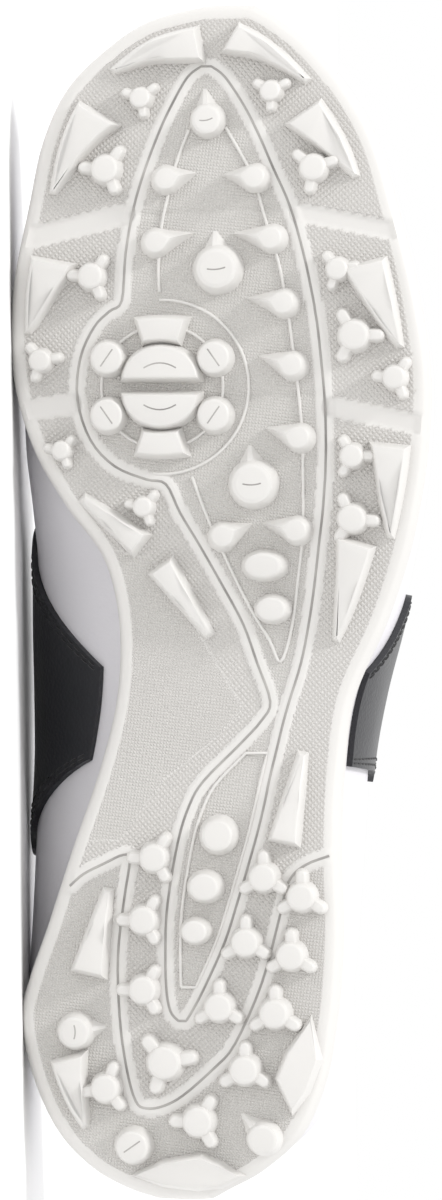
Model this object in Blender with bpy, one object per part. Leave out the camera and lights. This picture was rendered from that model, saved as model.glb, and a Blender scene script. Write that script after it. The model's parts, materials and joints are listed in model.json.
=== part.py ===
"""Low-cut turf shoe for the left foot, lying on its medial side.

The shoe is modelled in its own axes: x from heel to toe, y towards the lateral side, z up from
the tread plane, which is the plane of the stud tips. At the end the whole shoe is turned onto the
medial side, on the face of its convex hull that carries its weight.
"""
from math import atan2, cos, pi, radians, sin, tan

import bmesh
import bpy
from mathutils import Matrix, Vector

# Driving sizes, in metres
LENGTH = 0.288
BALL_WIDTH = 0.1015
INSTEP_HEIGHT = 0.094
TOE_SPRING = 0.013
ARCH_RISE = 0.003
HEEL_BEVEL = 0.003
HEEL_WALL = 0.017
FORE_WALL = 0.0115
EDGE_ROLL = 0.003
UPPER_WALL = 0.002
COLLAR_PAD = 0.0035
FEATHER_INSET = 0.0024
CLEARANCE = 0.0003
INSOLE_THICKNESS = 0.0035
PANEL_THICKNESS = 0.0009
PANEL_GAP = 0.0007
TONGUE_THICKNESS = 0.0035
TONGUE_RADIUS = 0.027
TONGUE_UNDERLAP = 0.006
LACE_WIDTH = 0.0055
LACE_THICKNESS = 0.0016
LACE_LIFT = 0.0014
LACE_BOW = 0.0105
EYELET_DIAMETER = 0.004
EYELET_PAIRS = 6
TOP_INSET = 0.0011
WALL_INSET = 0.0006
WALL_LIFT = 0.0026
TOP_LEAN = 0.02
TONGUE_DROP = 0.0012
TONGUE_NARROW = 0.005
TONGUE_FRONT_HALF = 0.010
TONGUE_BACK_HALF = 0.0245
INSOLE_GAP = 0.0014

# Stud sizes, in metres
LUG_HEIGHT = 0.005
SATELLITE_HEIGHT = 0.0034
BLADE_HEIGHT = 0.0046
LUG_ROOT = 0.001
STUD_RADIUS = 0.004
CLUSTER_RADIUS = 0.003
LEAF_RADIUS = 0.003
BLADE_POINT = 0.0008
DRAFT = 0.28

# Sections of the sole from heel to toe.
# along: share of the length. medial, lateral: edge, as a share of the ball width.
SOLE = [
    (0.000, -0.10, 0.03),
    (0.008, -0.17, 0.07),
    (0.025, -0.255, 0.155),
    (0.055, -0.335, 0.245),
    (0.100, -0.395, 0.30),
    (0.150, -0.425, 0.325),
    (0.185, -0.405, 0.335),
    (0.230, -0.36, 0.34),
    (0.290, -0.305, 0.335),
    (0.360, -0.24, 0.34),
    (0.420, -0.20, 0.365),
    (0.480, -0.195, 0.44),
    (0.535, -0.23, 0.495),
    (0.580, -0.32, 0.525),
    (0.630, -0.40, 0.545),
    (0.690, -0.445, 0.55),
    (0.760, -0.445, 0.52),
    (0.830, -0.41, 0.47),
    (0.885, -0.38, 0.42),
    (0.930, -0.325, 0.345),
    (0.965, -0.23, 0.26),
    (0.988, -0.13, 0.18),
    (1.000, 0.00, 0.12),
]

# Ribs of the upper, each rising from the sole section of the same row to the collar or throat.
# top_along: share of the length. top_half: half width of the opening, share of the ball width.
# top_height: share of the instep height. pitch: slope of the wall at its top, in degrees.
# out_medial, out_lateral: how far the wall's widest line stands out past the sole's edge, share
# of the ball width. belly: height of that line above the sole's rim, share of the instep height.
UPPER = [
    (0.028, 0.030, 0.905, 80, -0.005, -0.005, 0.20),
    (0.030, 0.070, 0.905, 80, -0.005, -0.005, 0.20),
    (0.040, 0.125, 0.895, 80, -0.005, -0.005, 0.20),
    (0.060, 0.185, 0.870, 82, 0.00, 0.00, 0.20),
    (0.098, 0.240, 0.825, 84, 0.005, 0.00, 0.21),
    (0.145, 0.280, 0.775, 85, 0.02, 0.00, 0.22),
    (0.180, 0.300, 0.750, 85, 0.045, 0.00, 0.23),
    (0.225, 0.315, 0.730, 85, 0.085, 0.005, 0.24),
    (0.290, 0.320, 0.740, 84, 0.135, 0.02, 0.26),
    (0.350, 0.300, 0.810, 76, 0.195, 0.025, 0.28),
    (0.400, 0.265, 0.910, 62, 0.235, 0.03, 0.28),
    (0.440, 0.235, 0.985, 45, 0.24, 0.00, 0.27),
    (0.485, 0.210, 0.950, 40, 0.20, -0.015, 0.25),
    (0.525, 0.200, 0.900, 38, 0.115, -0.015, 0.21),
    (0.565, 0.190, 0.850, 36, 0.045, -0.015, 0.17),
    (0.605, 0.180, 0.800, 34, 0.00, -0.015, 0.15),
    (0.640, 0.165, 0.755, 30, -0.01, -0.015, 0.13),
    (0.668, 0.140, 0.720, 26, -0.012, -0.015, 0.12),
    (0.685, 0.110, 0.700, 22, -0.012, -0.012, 0.12),
    (0.696, 0.080, 0.685, 18, -0.012, -0.012, 0.12),
    (0.702, 0.050, 0.675, 16, -0.012, -0.012, 0.12),
    (0.705, 0.028, 0.670, 15, -0.012, -0.012, 0.12),
    (0.706, 0.010, 0.670, 15, -0.012, -0.012, 0.12),
]

# Clusters: a round stud with three low fins. along, across, size, turn in degrees.
CLUSTERS = [
    (0.920, -0.14, 0.90, 50),
    (0.925, 0.17, 0.90, 60),
    (0.860, -0.22, 1.20, 35),
    (0.860, 0.275, 1.15, 70),
    (0.770, -0.25, 1.10, 35),
    (0.775, 0.335, 0.95, 80),
    (0.720, 0.375, 1.30, 90),
    (0.685, 0.47, 1.00, 35),
    (0.700, -0.37, 0.95, 80),
    (0.625, -0.32, 0.80, 40),
    (0.620, 0.37, 1.00, 90),
    (0.568, 0.37, 1.20, 95),
    (0.578, -0.125, 0.85, 40),
    (0.286, -0.10, 1.20, 30),
    (0.234, -0.125, 1.20, 30),
    (0.176, -0.125, 1.20, 30),
    (0.270, 0.16, 1.20, 0),
    (0.216, 0.118, 1.20, 0),
    (0.162, 0.055, 1.20, 0),
    (0.254, 0.25, 1.20, 0),
    (0.205, 0.225, 1.20, 0),
    (0.157, 0.187, 1.25, 0),
    (0.110, 0.116, 1.25, 0),
    (0.094, -0.215, 1.20, 20),
    (0.067, 0.006, 1.30, 30),
    (0.116, -0.074, 1.45, 80),
]

# Studs with a tail: centre along and across, share of the stud radius, tail tip along and across.
TEARDROPS = [
    (0.901, 0.02, 1.00, 0.931, 0.008),
    (0.776, 0.05, 1.38, 0.811, 0.04),
    (0.597, 0.135, 1.38, 0.632, 0.124),
    (0.141, -0.287, 1.05, 0.145, -0.212),
    (0.053, 0.16, 1.00, 0.075, 0.102),
]

# Leaves, the short studs that point to the middle of the forefoot: round end, then tip.
LEAVES = [
    (0.851, -0.078, 0.857, 0.00),
    (0.798, -0.10, 0.807, 0.00),
    (0.553, 0.06, 0.565, 0.135),
    (0.852, 0.138, 0.855, 0.05),
    (0.801, 0.18, 0.806, 0.074),
    (0.747, 0.21, 0.752, 0.112),
    (0.695, 0.23, 0.704, 0.14),
    (0.635, 0.247, 0.644, 0.157),
    (0.558, 0.24, 0.565, 0.147),
]

# Round and oval studs: along, across, half length and half width as shares of the stud radius.
ROUNDS = [
    (0.529, 0.16, 0.85, 1.25),
    (0.493, 0.178, 0.80, 1.00),
    (0.305, 0.052, 1.05, 1.05),
    (0.262, 0.021, 0.90, 1.00),
    (0.225, -0.002, 0.75, 0.85),
    (0.046, -0.15, 1.05, 1.05),
    (0.020, -0.024, 0.75, 3.25),
]

# Edge blades: side, along at the broad end, along at the point, then inset and breadth as shares
# of the stud radius.
EDGE_BLADES = [
    (-1, 0.998, 0.960, 1.40, 1.75),
    (1, 1.000, 0.950, 1.55, 1.55),
    (-1, 0.925, 0.845, 1.38, 2.38),
    (1, 0.930, 0.862, 1.80, 2.12),
    (-1, 0.788, 0.725, 1.12, 2.25),
    (1, 0.788, 0.715, 1.50, 2.25),
    (1, 0.625, 0.550, 1.15, 1.88),
    (1, 0.535, 0.455, 2.12, 1.88),
    (-1, 0.108, 0.048, 1.62, 1.75),
]

# Inner blades: along, across and breadth at one end, then the same at the other end, the breadths
# as shares of the stud radius.
INNER_BLADES = [
    (0.585, -0.270, 0.38, 0.547, -0.135, 1.38),
    (0.528, -0.085, 1.50, 0.472, 0.025, 0.38),
    (0.372, 0.248, 0.38, 0.300, 0.208, 1.62),
    (0.258, -0.212, 0.38, 0.190, -0.256, 1.88),
    (0.150, 0.268, 0.38, 0.108, 0.240, 2.00),
    (0.108, 0.240, 2.00, 0.076, 0.228, 0.38),
]

# Turning pad under the ball of the foot
PAD_ALONG = 0.678
PAD_ACROSS = -0.083
PAD_MOON_HALF = 0.0092
PAD_MOON_DEPTH = 0.0080
PAD_MOON_GAP = 0.0018
PAD_KEY_FROM = 0.0110
PAD_KEY_TO = 0.0166
PAD_KEY_NEAR = 0.0042
PAD_KEY_FAR = 0.0060
PAD_ROUND_RADIUS = 0.0042
PAD_ROUND_REACH = 0.0146
PAD_ROUND_TURN = radians(62)

# Side panels: share of the wall's height, then the sole row of the front and of the back edge.
MEDIAL_PANEL = [
    (0.05, 10.4, 9.1),
    (0.36, 12.5, 7.9),
    (0.58, 13.0, 8.2),
    (0.74, 13.2, 8.7),
]
LATERAL_PANEL = [
    (0.05, 10.3, 9.0),
    (0.36, 11.4, 8.9),
    (0.48, 11.4, 8.8),
    (0.57, 11.3, 9.1),
]

# Fineness of the faceted solids
SOLE_STEPS = 2
UPPER_STEPS = 2
WALL_LOW_STEPS = 3
WALL_HIGH_STEPS = 6
LAST_ROW = len(SOLE) - 1
BELLY_SHARE = 0.3
EYELET_SHARE = 0.88
FIRST_EYELET = 0.662
LAST_EYELET = 0.456
TONGUE_FRONT = 0.728
TONGUE_BACK = 0.375
THROAT_ROW = 11
COLLAR_ROW = 9.4


def mix(low, high, share):
    return low + (high - low) * share


def ease(share):
    share = min(max(share, 0.0), 1.0)
    return share * share * (3 - 2 * share)


def row_at(table, row):
    """Values of a table at a row number between its rows, on a smooth curve through them."""
    last = len(table) - 1
    row = min(max(row, 0.0), float(last))
    start = min(int(row), last - 1)
    t = row - start
    before = table[max(start - 1, 0)]
    after = table[min(start + 2, last)]
    values = []
    for p0, p1, p2, p3 in zip(before, table[start], table[start + 1], after):
        bend = 2 * p0 - 5 * p1 + 4 * p2 - p3
        twist = 3 * (p1 - p2) + p3 - p0
        values.append(0.5 * (2 * p1 + (p2 - p0) * t + bend * t * t + twist * t ** 3))
    return values


def sole_row(along):
    """Row number of the sole section at a share of the length."""
    low, high = 0.0, float(LAST_ROW)
    for _ in range(40):
        middle = (low + high) / 2
        if row_at(SOLE, middle)[0] < along:
            low = middle
        else:
            high = middle
    return low


def edge(row, side):
    along, medial, lateral = row_at(SOLE, row)
    return Vector((along * LENGTH, (medial if side < 0 else lateral) * BALL_WIDTH, 0))


def inward(row, side):
    """Level direction from the sole's edge to its middle, square to the edge."""
    step = 0.05
    run = edge(min(row + step, LAST_ROW), side) - edge(max(row - step, 0), side)
    return Vector((side * run.y, -side * run.x, 0)).normalized()


def plate_z(x):
    """Height of the plate's underside, from which the studs stand down."""
    along = x / LENGTH
    toe = TOE_SPRING * ease((along - 0.70) / 0.38) ** 1.5 * 1.12
    arch = ARCH_RISE * ease((along - 0.28) / 0.1) * ease((0.58 - along) / 0.1)
    heel = HEEL_BEVEL * ease((0.07 - along) / 0.09)
    return LUG_HEIGHT + toe + arch + heel


def rim_z(x):
    """Height of the sole's top."""
    return plate_z(x) + mix(FORE_WALL, HEEL_WALL, ease((0.62 - x / LENGTH) / 0.3))


def middle_y(along):
    """Middle line of the collar and throat."""
    return mix(-0.045, 0.06, along) * BALL_WIDTH


def new_object(name, bm, colour, roughness):
    """Finish a bmesh as one closed object with its own material."""
    bmesh.ops.recalc_face_normals(bm, faces=bm.faces)
    mesh = bpy.data.meshes.new(name)
    bm.to_mesh(mesh)
    bm.free()
    item = bpy.data.objects.new(name, mesh)
    bpy.context.collection.objects.link(item)
    material = bpy.data.materials.new(name)
    material.use_nodes = True
    shader = material.node_tree.nodes["Principled BSDF"]
    shader.inputs["Base Color"].default_value = (*colour, 1)
    shader.inputs["Roughness"].default_value = roughness
    mesh.materials.append(material)
    mesh.shade_smooth()
    mesh.set_sharp_from_angle(angle=radians(35))
    return item


def loft(bm, rings, cap):
    """Skin closed rings of equal length. cap fills the first and the last ring."""
    loops = [[bm.verts.new(point) for point in ring] for ring in rings]
    for low, high in zip(loops, loops[1:]):
        for i in range(len(low)):
            j = (i + 1) % len(low)
            bm.faces.new((low[i], low[j], high[j], high[i]))
    if cap:
        bm.faces.new(list(reversed(loops[0])))
        bm.faces.new(loops[-1])
    return loops


def slab(bm, front, back):
    """Closed plate between two equal grids of points, the rows of each as lists."""
    rings = []
    for top, under in zip(front, back):
        rings.append(list(top) + list(reversed(under)))
    loft(bm, rings, True)


def outsole_ring(row):
    x = edge(row, 1).x
    base = plate_z(x)
    top = rim_z(x)
    wall = [(WALL_INSET, base + WALL_LIFT), (0.0, mix(base, top, 0.55)), (TOP_INSET, top)]
    roll = {side: edge(row, side) + inward(row, side) * EDGE_ROLL for side in (-1, 1)}
    ring = []
    for share in (0.0, 0.16, 0.33, 0.5, 0.67, 0.84, 1.0):
        point = roll[-1].lerp(roll[1], share)
        ring.append((point.x, point.y, plate_z(point.x)))
    for inset, z in wall:
        point = edge(row, 1) + inward(row, 1) * inset
        ring.append((point.x, point.y, z))
    for inset, z in reversed(wall):
        point = edge(row, -1) + inward(row, -1) * inset
        ring.append((point.x, point.y, z))
    return ring


def add_lug(bm, points, height):
    """Stud with a flat tip: points are the tip's outline in the plane of the tread."""
    centre = sum(points, Vector((0, 0, 0))) / len(points)
    reach = sum((point - centre).length for point in points) / len(points)
    root = 1 + DRAFT * height / reach
    top = []
    tip = []
    for point in points:
        foot = centre + (point - centre) * root
        top.append((foot.x, foot.y, plate_z(foot.x) + LUG_ROOT))
        tip.append((point.x, point.y, plate_z(point.x) - height))
    loft(bm, [top, tip], True)


def place(along, across):
    return Vector((along * LENGTH, across * BALL_WIDTH, 0))


def oval(centre, half_x, half_y, sides):
    turns = [2 * pi * i / sides for i in range(sides)]
    return [centre + Vector((half_x * cos(turn), half_y * sin(turn), 0)) for turn in turns]


def add_cluster(bm, along, across, size, turn):
    centre = place(along, across)
    radius = CLUSTER_RADIUS * size
    add_lug(bm, oval(centre, radius, radius, 8), LUG_HEIGHT)
    for i in range(3):
        angle = radians(turn + 120 * i)
        out = Vector((cos(angle), sin(angle), 0))
        wide = Vector((-out.y, out.x, 0)) * radius * 0.55
        near = centre + out * radius * 1.05
        far = centre + out * radius * 1.75
        add_lug(bm, [near - wide, far - wide * 0.5, far + wide * 0.5, near + wide], SATELLITE_HEIGHT)


def add_teardrop(bm, centre, radius, tail, height):
    """Round stud drawn out to a point, with straight flanks that touch the circle."""
    way = tail - centre
    lean = atan2(way.y, way.x)
    touch = 0.36 * pi
    points = [tail]
    for i in range(8):
        angle = lean + touch + (2 * pi - 2 * touch) * i / 7
        points.append(centre + Vector((cos(angle), sin(angle), 0)) * radius)
    add_lug(bm, points, height)


def add_edge_blade(bm, side, broad, point, inset, breadth):
    """Blade whose outer flank follows the sole's edge."""
    rows = [mix(sole_row(broad), sole_row(point), i / 4) for i in range(5)]
    outer = []
    inner = []
    for i, row in enumerate(rows):
        foot = edge(row, side) + inward(row, side) * inset
        outer.append(foot)
        inner.append(foot + inward(row, side) * (breadth * (1 - i / 4) ** 0.8 + BLADE_POINT))
    add_lug(bm, outer + list(reversed(inner)), BLADE_HEIGHT)


def add_inner_blade(bm, start, start_breadth, end, end_breadth):
    way = (end - start).normalized()
    wide = Vector((-way.y, way.x, 0))
    points = []
    for centre, breadth, sign in ((start, start_breadth, 1), (end, end_breadth, 1),
                                  (end, end_breadth, -1), (start, start_breadth, -1)):
        points.append(centre + wide * breadth / 2 * sign)
    add_lug(bm, points, BLADE_HEIGHT)


def add_turning_pad(bm):
    centre = place(PAD_ALONG, PAD_ACROSS)
    for way in (-1, 1):
        moon = []
        for i in range(8):
            angle = pi * i / 7
            lift = PAD_MOON_GAP + PAD_MOON_DEPTH * sin(angle)
            moon.append(centre + Vector((way * lift, PAD_MOON_HALF * cos(angle), 0)))
        add_lug(bm, moon, LUG_HEIGHT)
        key = []
        for reach, half in ((PAD_KEY_FROM, PAD_KEY_NEAR), (PAD_KEY_TO, PAD_KEY_FAR)):
            key += [Vector((way * reach, half, 0)), Vector((way * reach, -half, 0))]
        key = [centre + key[i] for i in (0, 1, 3, 2)]
        add_lug(bm, key, BLADE_HEIGHT)
        for side in (-1, 1):
            out = Vector((way * cos(PAD_ROUND_TURN), side * sin(PAD_ROUND_TURN), 0))
            middle = centre + out * PAD_ROUND_REACH
            add_lug(bm, oval(middle, PAD_ROUND_RADIUS, PAD_ROUND_RADIUS, 10), LUG_HEIGHT)


def make_lugs():
    """All studs of the sole in one guide object, which the outsole takes up by a union."""
    bm = bmesh.new()
    for row in CLUSTERS:
        add_cluster(bm, *row)
    for along, across, radius, tail_along, tail_across in TEARDROPS:
        tail = place(tail_along, tail_across)
        add_teardrop(bm, place(along, across), radius * STUD_RADIUS, tail, LUG_HEIGHT)
    for along, across, tip_along, tip_across in LEAVES:
        tip = place(tip_along, tip_across)
        add_teardrop(bm, place(along, across), LEAF_RADIUS, tip, LUG_HEIGHT)
    for along, across, half_x, half_y in ROUNDS:
        points = oval(place(along, across), half_x * STUD_RADIUS, half_y * STUD_RADIUS, 10)
        add_lug(bm, points, LUG_HEIGHT)
    for side, broad, point, inset, breadth in EDGE_BLADES:
        add_edge_blade(bm, side, broad, point, inset * STUD_RADIUS, breadth * STUD_RADIUS)
    for along, across, breadth, end_along, end_across, end_breadth in INNER_BLADES:
        add_inner_blade(bm, place(along, across), breadth * STUD_RADIUS,
                        place(end_along, end_across), end_breadth * STUD_RADIUS)
    add_turning_pad(bm)
    lugs = new_object("lug_guide", bm, (0.8, 0.8, 0.8), 0.5)
    lugs.hide_render = True
    lugs.display_type = "WIRE"
    return lugs


def make_outsole():
    bm = bmesh.new()
    rows = [i / SOLE_STEPS for i in range(LAST_ROW * SOLE_STEPS + 1)]
    loft(bm, [outsole_ring(row) for row in rows], True)
    sole = new_object("outsole", bm, (0.78, 0.77, 0.75), 0.5)
    join = sole.modifiers.new("studs", "BOOLEAN")
    join.operation = "UNION"
    join.solver = "EXACT"
    join.use_self = True
    join.object = make_lugs()
    return sole


def foot_point(row, side):
    """Where the upper's outer face stands on the sole."""
    point = edge(row, side) + inward(row, side) * FEATHER_INSET
    point.z = rim_z(point.x) + CLEARANCE
    return point


def top_point(row, side):
    top_along, top_half, top_height = row_at(UPPER, row)[:3]
    y = middle_y(top_along) + side * top_half * BALL_WIDTH
    return Vector((top_along * LENGTH, y, top_height * INSTEP_HEIGHT))


def upper_point(row, side, share):
    """Outer face of the upper. share runs from 0 at the sole to 1 at the collar or throat."""
    pitch, out_medial, out_lateral, belly = row_at(UPPER, row)[3:]
    foot = foot_point(row, side)
    top = top_point(row, side)
    out = -inward(row, side)
    ends = ease((abs(row_at(SOLE, row)[0] - 0.5) - 0.3) / 0.15)
    out = Vector((out.x * ends, out.y, 0)).normalized()
    widest = edge(row, side) + out * (out_medial if side < 0 else out_lateral) * BALL_WIDTH
    widest.z = foot.z + belly * INSTEP_HEIGHT
    if share < BELLY_SHARE:
        t = share / BELLY_SHARE
        corner = Vector((widest.x, widest.y, mix(foot.z, widest.z, 0.45)))
        return foot * (1 - t) ** 2 + corner * 2 * t * (1 - t) + widest * t * t
    t = (share - BELLY_SHARE) / (1 - BELLY_SHARE)
    level = Vector((top.x - widest.x, top.y - widest.y, 0)) - out * TOP_LEAN
    level.normalize()
    slope = level * cos(radians(pitch)) + Vector((0, 0, sin(radians(pitch))))
    span = (top - widest).length
    rise = widest + Vector((0, 0, mix(0.24, 0.4, pitch / 90) * span))
    fall = top - slope * 0.36 * span
    near = widest * (1 - t) ** 3 + rise * 3 * t * (1 - t) ** 2
    return near + fall * 3 * t * t * (1 - t) + top * t ** 3


def upper_normal(row, side, share):
    step = 0.02
    up = upper_point(row, side, min(share + step, 1)) - upper_point(row, side, max(share - step, 0))
    ahead = upper_point(min(row + step, LAST_ROW), side, share)
    behind = upper_point(max(row - step, 0), side, share)
    return (ahead - behind).cross(up).normalized() * -side


def wall_at(row, share):
    """Thickness of the upper: plain leather below, padded round the ankle."""
    pad = ease((COLLAR_ROW - row) / 2) * ease((share - 0.55) / 0.3)
    return UPPER_WALL + COLLAR_PAD * pad


def round_rows(steps):
    """Row and side of each rib, up the medial side and back down the lateral side."""
    rows = [i / steps for i in range(LAST_ROW * steps + 1)]
    return [(row, -1) for row in rows] + [(row, 1) for row in reversed(rows)]


def wall_shares(low_steps, high_steps):
    low = [BELLY_SHARE * i / low_steps for i in range(low_steps)]
    return low + [mix(BELLY_SHARE, 1, i / high_steps) for i in range(high_steps + 1)]


def make_upper():
    ribs = round_rows(UPPER_STEPS)
    shares = wall_shares(WALL_LOW_STEPS, WALL_HIGH_STEPS)
    rings = [[upper_point(row, side, share) for row, side in ribs] for share in shares]
    for share in reversed(shares):
        ring = []
        for row, side in ribs:
            depth = wall_at(row, share)
            ring.append(upper_point(row, side, share) - upper_normal(row, side, share) * depth)
        rings.append(ring)
    bm = bmesh.new()
    loops = loft(bm, rings, False)
    first, last = loops[0], loops[-1]
    for i in range(len(first)):
        j = (i + 1) % len(first)
        bm.faces.new((first[j], first[i], last[i], last[j]))
    upper = new_object("upper", bm, (0.86, 0.85, 0.84), 0.45)
    punch = upper.modifiers.new("eyelets", "BOOLEAN")
    punch.operation = "DIFFERENCE"
    punch.solver = "EXACT"
    punch.object = make_punches()
    return upper


def eyelet(pair, side):
    """Point on the upper's outer face, its normal, for a pair counted from the toe."""
    along = mix(FIRST_EYELET, LAST_EYELET, pair / (EYELET_PAIRS - 1))
    low, high = COLLAR_ROW, float(LAST_ROW)
    for _ in range(30):
        row = (low + high) / 2
        if row_at(UPPER, row)[0] < along:
            low = row
        else:
            high = row
    return upper_point(row, side, EYELET_SHARE), upper_normal(row, side, EYELET_SHARE)


def make_punches():
    bm = bmesh.new()
    for pair in range(EYELET_PAIRS):
        for side in (-1, 1):
            point, normal = eyelet(pair, side)
            turn = normal.to_track_quat("Z", "X").to_matrix().to_4x4()
            depth = UPPER_WALL * 6
            bmesh.ops.create_cone(bm, cap_ends=True, segments=6, radius1=EYELET_DIAMETER / 2,
                                  radius2=EYELET_DIAMETER / 2, depth=depth,
                                  matrix=Matrix.Translation(point) @ turn)
    punches = new_object("eyelet_guide", bm, (0.5, 0.5, 0.5), 0.5)
    punches.hide_render = True
    punches.display_type = "WIRE"
    return punches


def throat_at(along):
    """Half width and height of the throat's edges at a share of the length."""
    rows = [row[:3] for row in UPPER[THROAT_ROW:]]
    if along <= rows[0][0]:
        rise = (rows[0][0] - along) * LENGTH * tan(radians(26))
        return rows[0][1] * BALL_WIDTH, rows[0][2] * INSTEP_HEIGHT + rise
    for low, high in zip(rows, rows[1:]):
        if along <= high[0]:
            share = (along - low[0]) / (high[0] - low[0])
            half = mix(low[1], high[1], share) * BALL_WIDTH
            return half, mix(low[2], high[2], share) * INSTEP_HEIGHT
    fall = (along - rows[-1][0]) * LENGTH * tan(radians(15))
    return rows[-1][1] * BALL_WIDTH, rows[-1][2] * INSTEP_HEIGHT - fall


def tongue_top(along, across):
    """Height of the tongue's outer face."""
    half, height = throat_at(along)
    drop = UPPER_WALL + CLEARANCE + TONGUE_DROP
    return height + (half * half - across * across) / (2 * TONGUE_RADIUS) - drop


def make_tongue():
    bm = bmesh.new()
    front = []
    back = []
    steps = 12
    for i in range(steps + 1):
        along = mix(TONGUE_FRONT, TONGUE_BACK, i / steps)
        widest = mix(TONGUE_FRONT_HALF, TONGUE_BACK_HALF, ease(i / 7))
        half = min(throat_at(along)[0] + TONGUE_UNDERLAP, widest)
        half -= TONGUE_NARROW * ease((i - 7) / 2)
        top = []
        under = []
        for j in range(7):
            across = half * (j / 3 - 1)
            y = middle_y(along) + across
            z = tongue_top(along, across)
            thick = TONGUE_THICKNESS * mix(0.55, 1, ease(i / 5))
            top.append((along * LENGTH, y, z))
            under.append((along * LENGTH - thick * 0.3, y, z - thick))
        front.append(top)
        back.append(under)
    slab(bm, front, back)
    return new_object("tongue", bm, (0.8, 0.79, 0.78), 0.6)


def add_lace(bm, start, end):
    """Flat strip of lace from one eyelet over the tongue to another."""
    (point_a, normal_a), (point_b, normal_b) = start, end
    lift = LACE_THICKNESS / 2 + LACE_LIFT
    from_point = point_a + normal_a * lift
    to_point = point_b + normal_b * lift
    rings = []
    steps = 5
    way = (to_point - from_point).normalized()
    for i in range(steps + 1):
        t = i / steps
        centre = from_point.lerp(to_point, t)
        along = centre.x / LENGTH
        clear = tongue_top(along, centre.y - middle_y(along)) + lift
        bow = mix(from_point.z, to_point.z, t) + LACE_BOW * (4 * t * (1 - t)) ** 0.6
        centre.z = max(clear, bow) if 0 < i < steps else centre.z
        normal = normal_a.lerp(normal_b, t).normalized()
        wide = way.cross(normal).normalized()
        across = wide * LACE_WIDTH / 2
        up = normal * LACE_THICKNESS / 2
        rings.append([centre + across, centre + across / 2 + up, centre - across / 2 + up,
                      centre - across, centre - across / 2 - up, centre + across / 2 - up])
    loft(bm, rings, True)


def make_laces():
    """First bar at the toe, then a crossing for each further pair, ending at the top eyelets."""
    bm = bmesh.new()
    add_lace(bm, eyelet(0, -1), eyelet(0, 1))
    first = new_object("laces", bm, (0.9, 0.9, 0.9), 0.8)
    bm = bmesh.new()
    for pair in range(EYELET_PAIRS - 1):
        add_lace(bm, eyelet(pair, -1), eyelet(pair + 1, 1))
        add_lace(bm, eyelet(pair, 1), eyelet(pair + 1, -1))
    rest = new_object("lace_guide", bm, (0.9, 0.9, 0.9), 0.8)
    rest.hide_render = True
    rest.display_type = "WIRE"
    join = first.modifiers.new("crossings", "BOOLEAN")
    join.operation = "UNION"
    join.solver = "EXACT"
    join.use_self = True
    join.object = rest
    return first


def make_insole():
    bm = bmesh.new()
    inset = FEATHER_INSET + UPPER_WALL + INSOLE_GAP
    front = []
    back = []
    for i in range(1, LAST_ROW * SOLE_STEPS):
        row = i / SOLE_STEPS
        medial = edge(row, -1) + inward(row, -1) * inset
        lateral = edge(row, 1) + inward(row, 1) * inset
        top = []
        under = []
        for j in range(4):
            point = medial.lerp(lateral, j / 3)
            base = rim_z(point.x) + CLEARANCE
            under.append((point.x, point.y, base))
            top.append((point.x, point.y, base + INSOLE_THICKNESS))
        front.append(top)
        back.append(under)
    slab(bm, front, back)
    return new_object("insole", bm, (0.35, 0.35, 0.36), 0.8)


def make_panel(name, table, side):
    """Overlay on the upper's own face, between two slanted edges."""
    bm = bmesh.new()
    front = []
    back = []
    levels = 10
    for i in range(levels + 1):
        share, ahead, behind = row_at(table, i / levels * (len(table) - 1))
        outer = []
        inner = []
        for j in range(11):
            row = mix(ahead, behind, j / 10)
            point = upper_point(row, side, share)
            normal = upper_normal(row, side, share)
            inner.append(point + normal * PANEL_GAP)
            outer.append(point + normal * (PANEL_GAP + PANEL_THICKNESS))
        front.append(outer)
        back.append(inner)
    slab(bm, front, back)
    return new_object(name, bm, (0.03, 0.03, 0.04), 0.5)


def mass_centre(meshes):
    """Centre of the volume that all pieces fill together."""
    volume = 0.0
    moment = Vector((0, 0, 0))
    for mesh in meshes:
        mesh.calc_loop_triangles()
        for triangle in mesh.loop_triangles:
            a, b, c = (mesh.vertices[i].co for i in triangle.vertices)
            share = a.dot(b.cross(c)) / 6
            volume += share
            moment += (a + b + c) * share / 4
    return moment / volume


def face_under(points, centre):
    """Downward normal of the hull face, on the medial side, that carries the weight."""
    bm = bmesh.new()
    for point in points:
        bm.verts.new(point)
    bmesh.ops.remove_doubles(bm, verts=bm.verts, dist=0.0001)
    bmesh.ops.convex_hull(bm, input=bm.verts)
    best = None
    for face in bm.faces:
        corners = [loop.vert.co for loop in face.loops]
        normal = face.normal
        if normal.y > -0.7:
            continue
        inside = 1e9
        for i, corner in enumerate(corners):
            side = (corners[(i + 1) % len(corners)] - corner).normalized()
            inside = min(inside, (centre - corner).dot(normal.cross(side)))
        if best is None or inside > best[0]:
            best = (inside, normal.copy())
    bm.free()
    return best[1]


def lay_down(pieces):
    """Turn the shoe onto its medial side, toe to -x, its box centred over the origin."""
    bpy.context.view_layer.update()
    graph = bpy.context.evaluated_depsgraph_get()
    meshes = [piece.evaluated_get(graph).to_mesh() for piece in pieces]
    points = [vertex.co.copy() for mesh in meshes for vertex in mesh.vertices]
    down = face_under(points, mass_centre(meshes))
    up = -down
    right = -(Vector((1, 0, 0)) - up * up.x).normalized()
    turn = Matrix((right, up.cross(right), up))
    turned = [turn @ point for point in points]
    low = Vector([min(point[i] for point in turned) for i in range(3)])
    high = Vector([max(point[i] for point in turned) for i in range(3)])
    shift = Vector((-(low.x + high.x) / 2, -(low.y + high.y) / 2, -low.z))
    stand = bpy.data.objects.new("lying_shoe", None)
    bpy.context.collection.objects.link(stand)
    stand.matrix_world = Matrix.Translation(shift) @ turn.to_4x4()
    for item in bpy.data.objects:
        if item is not stand:
            item.parent = stand


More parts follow.
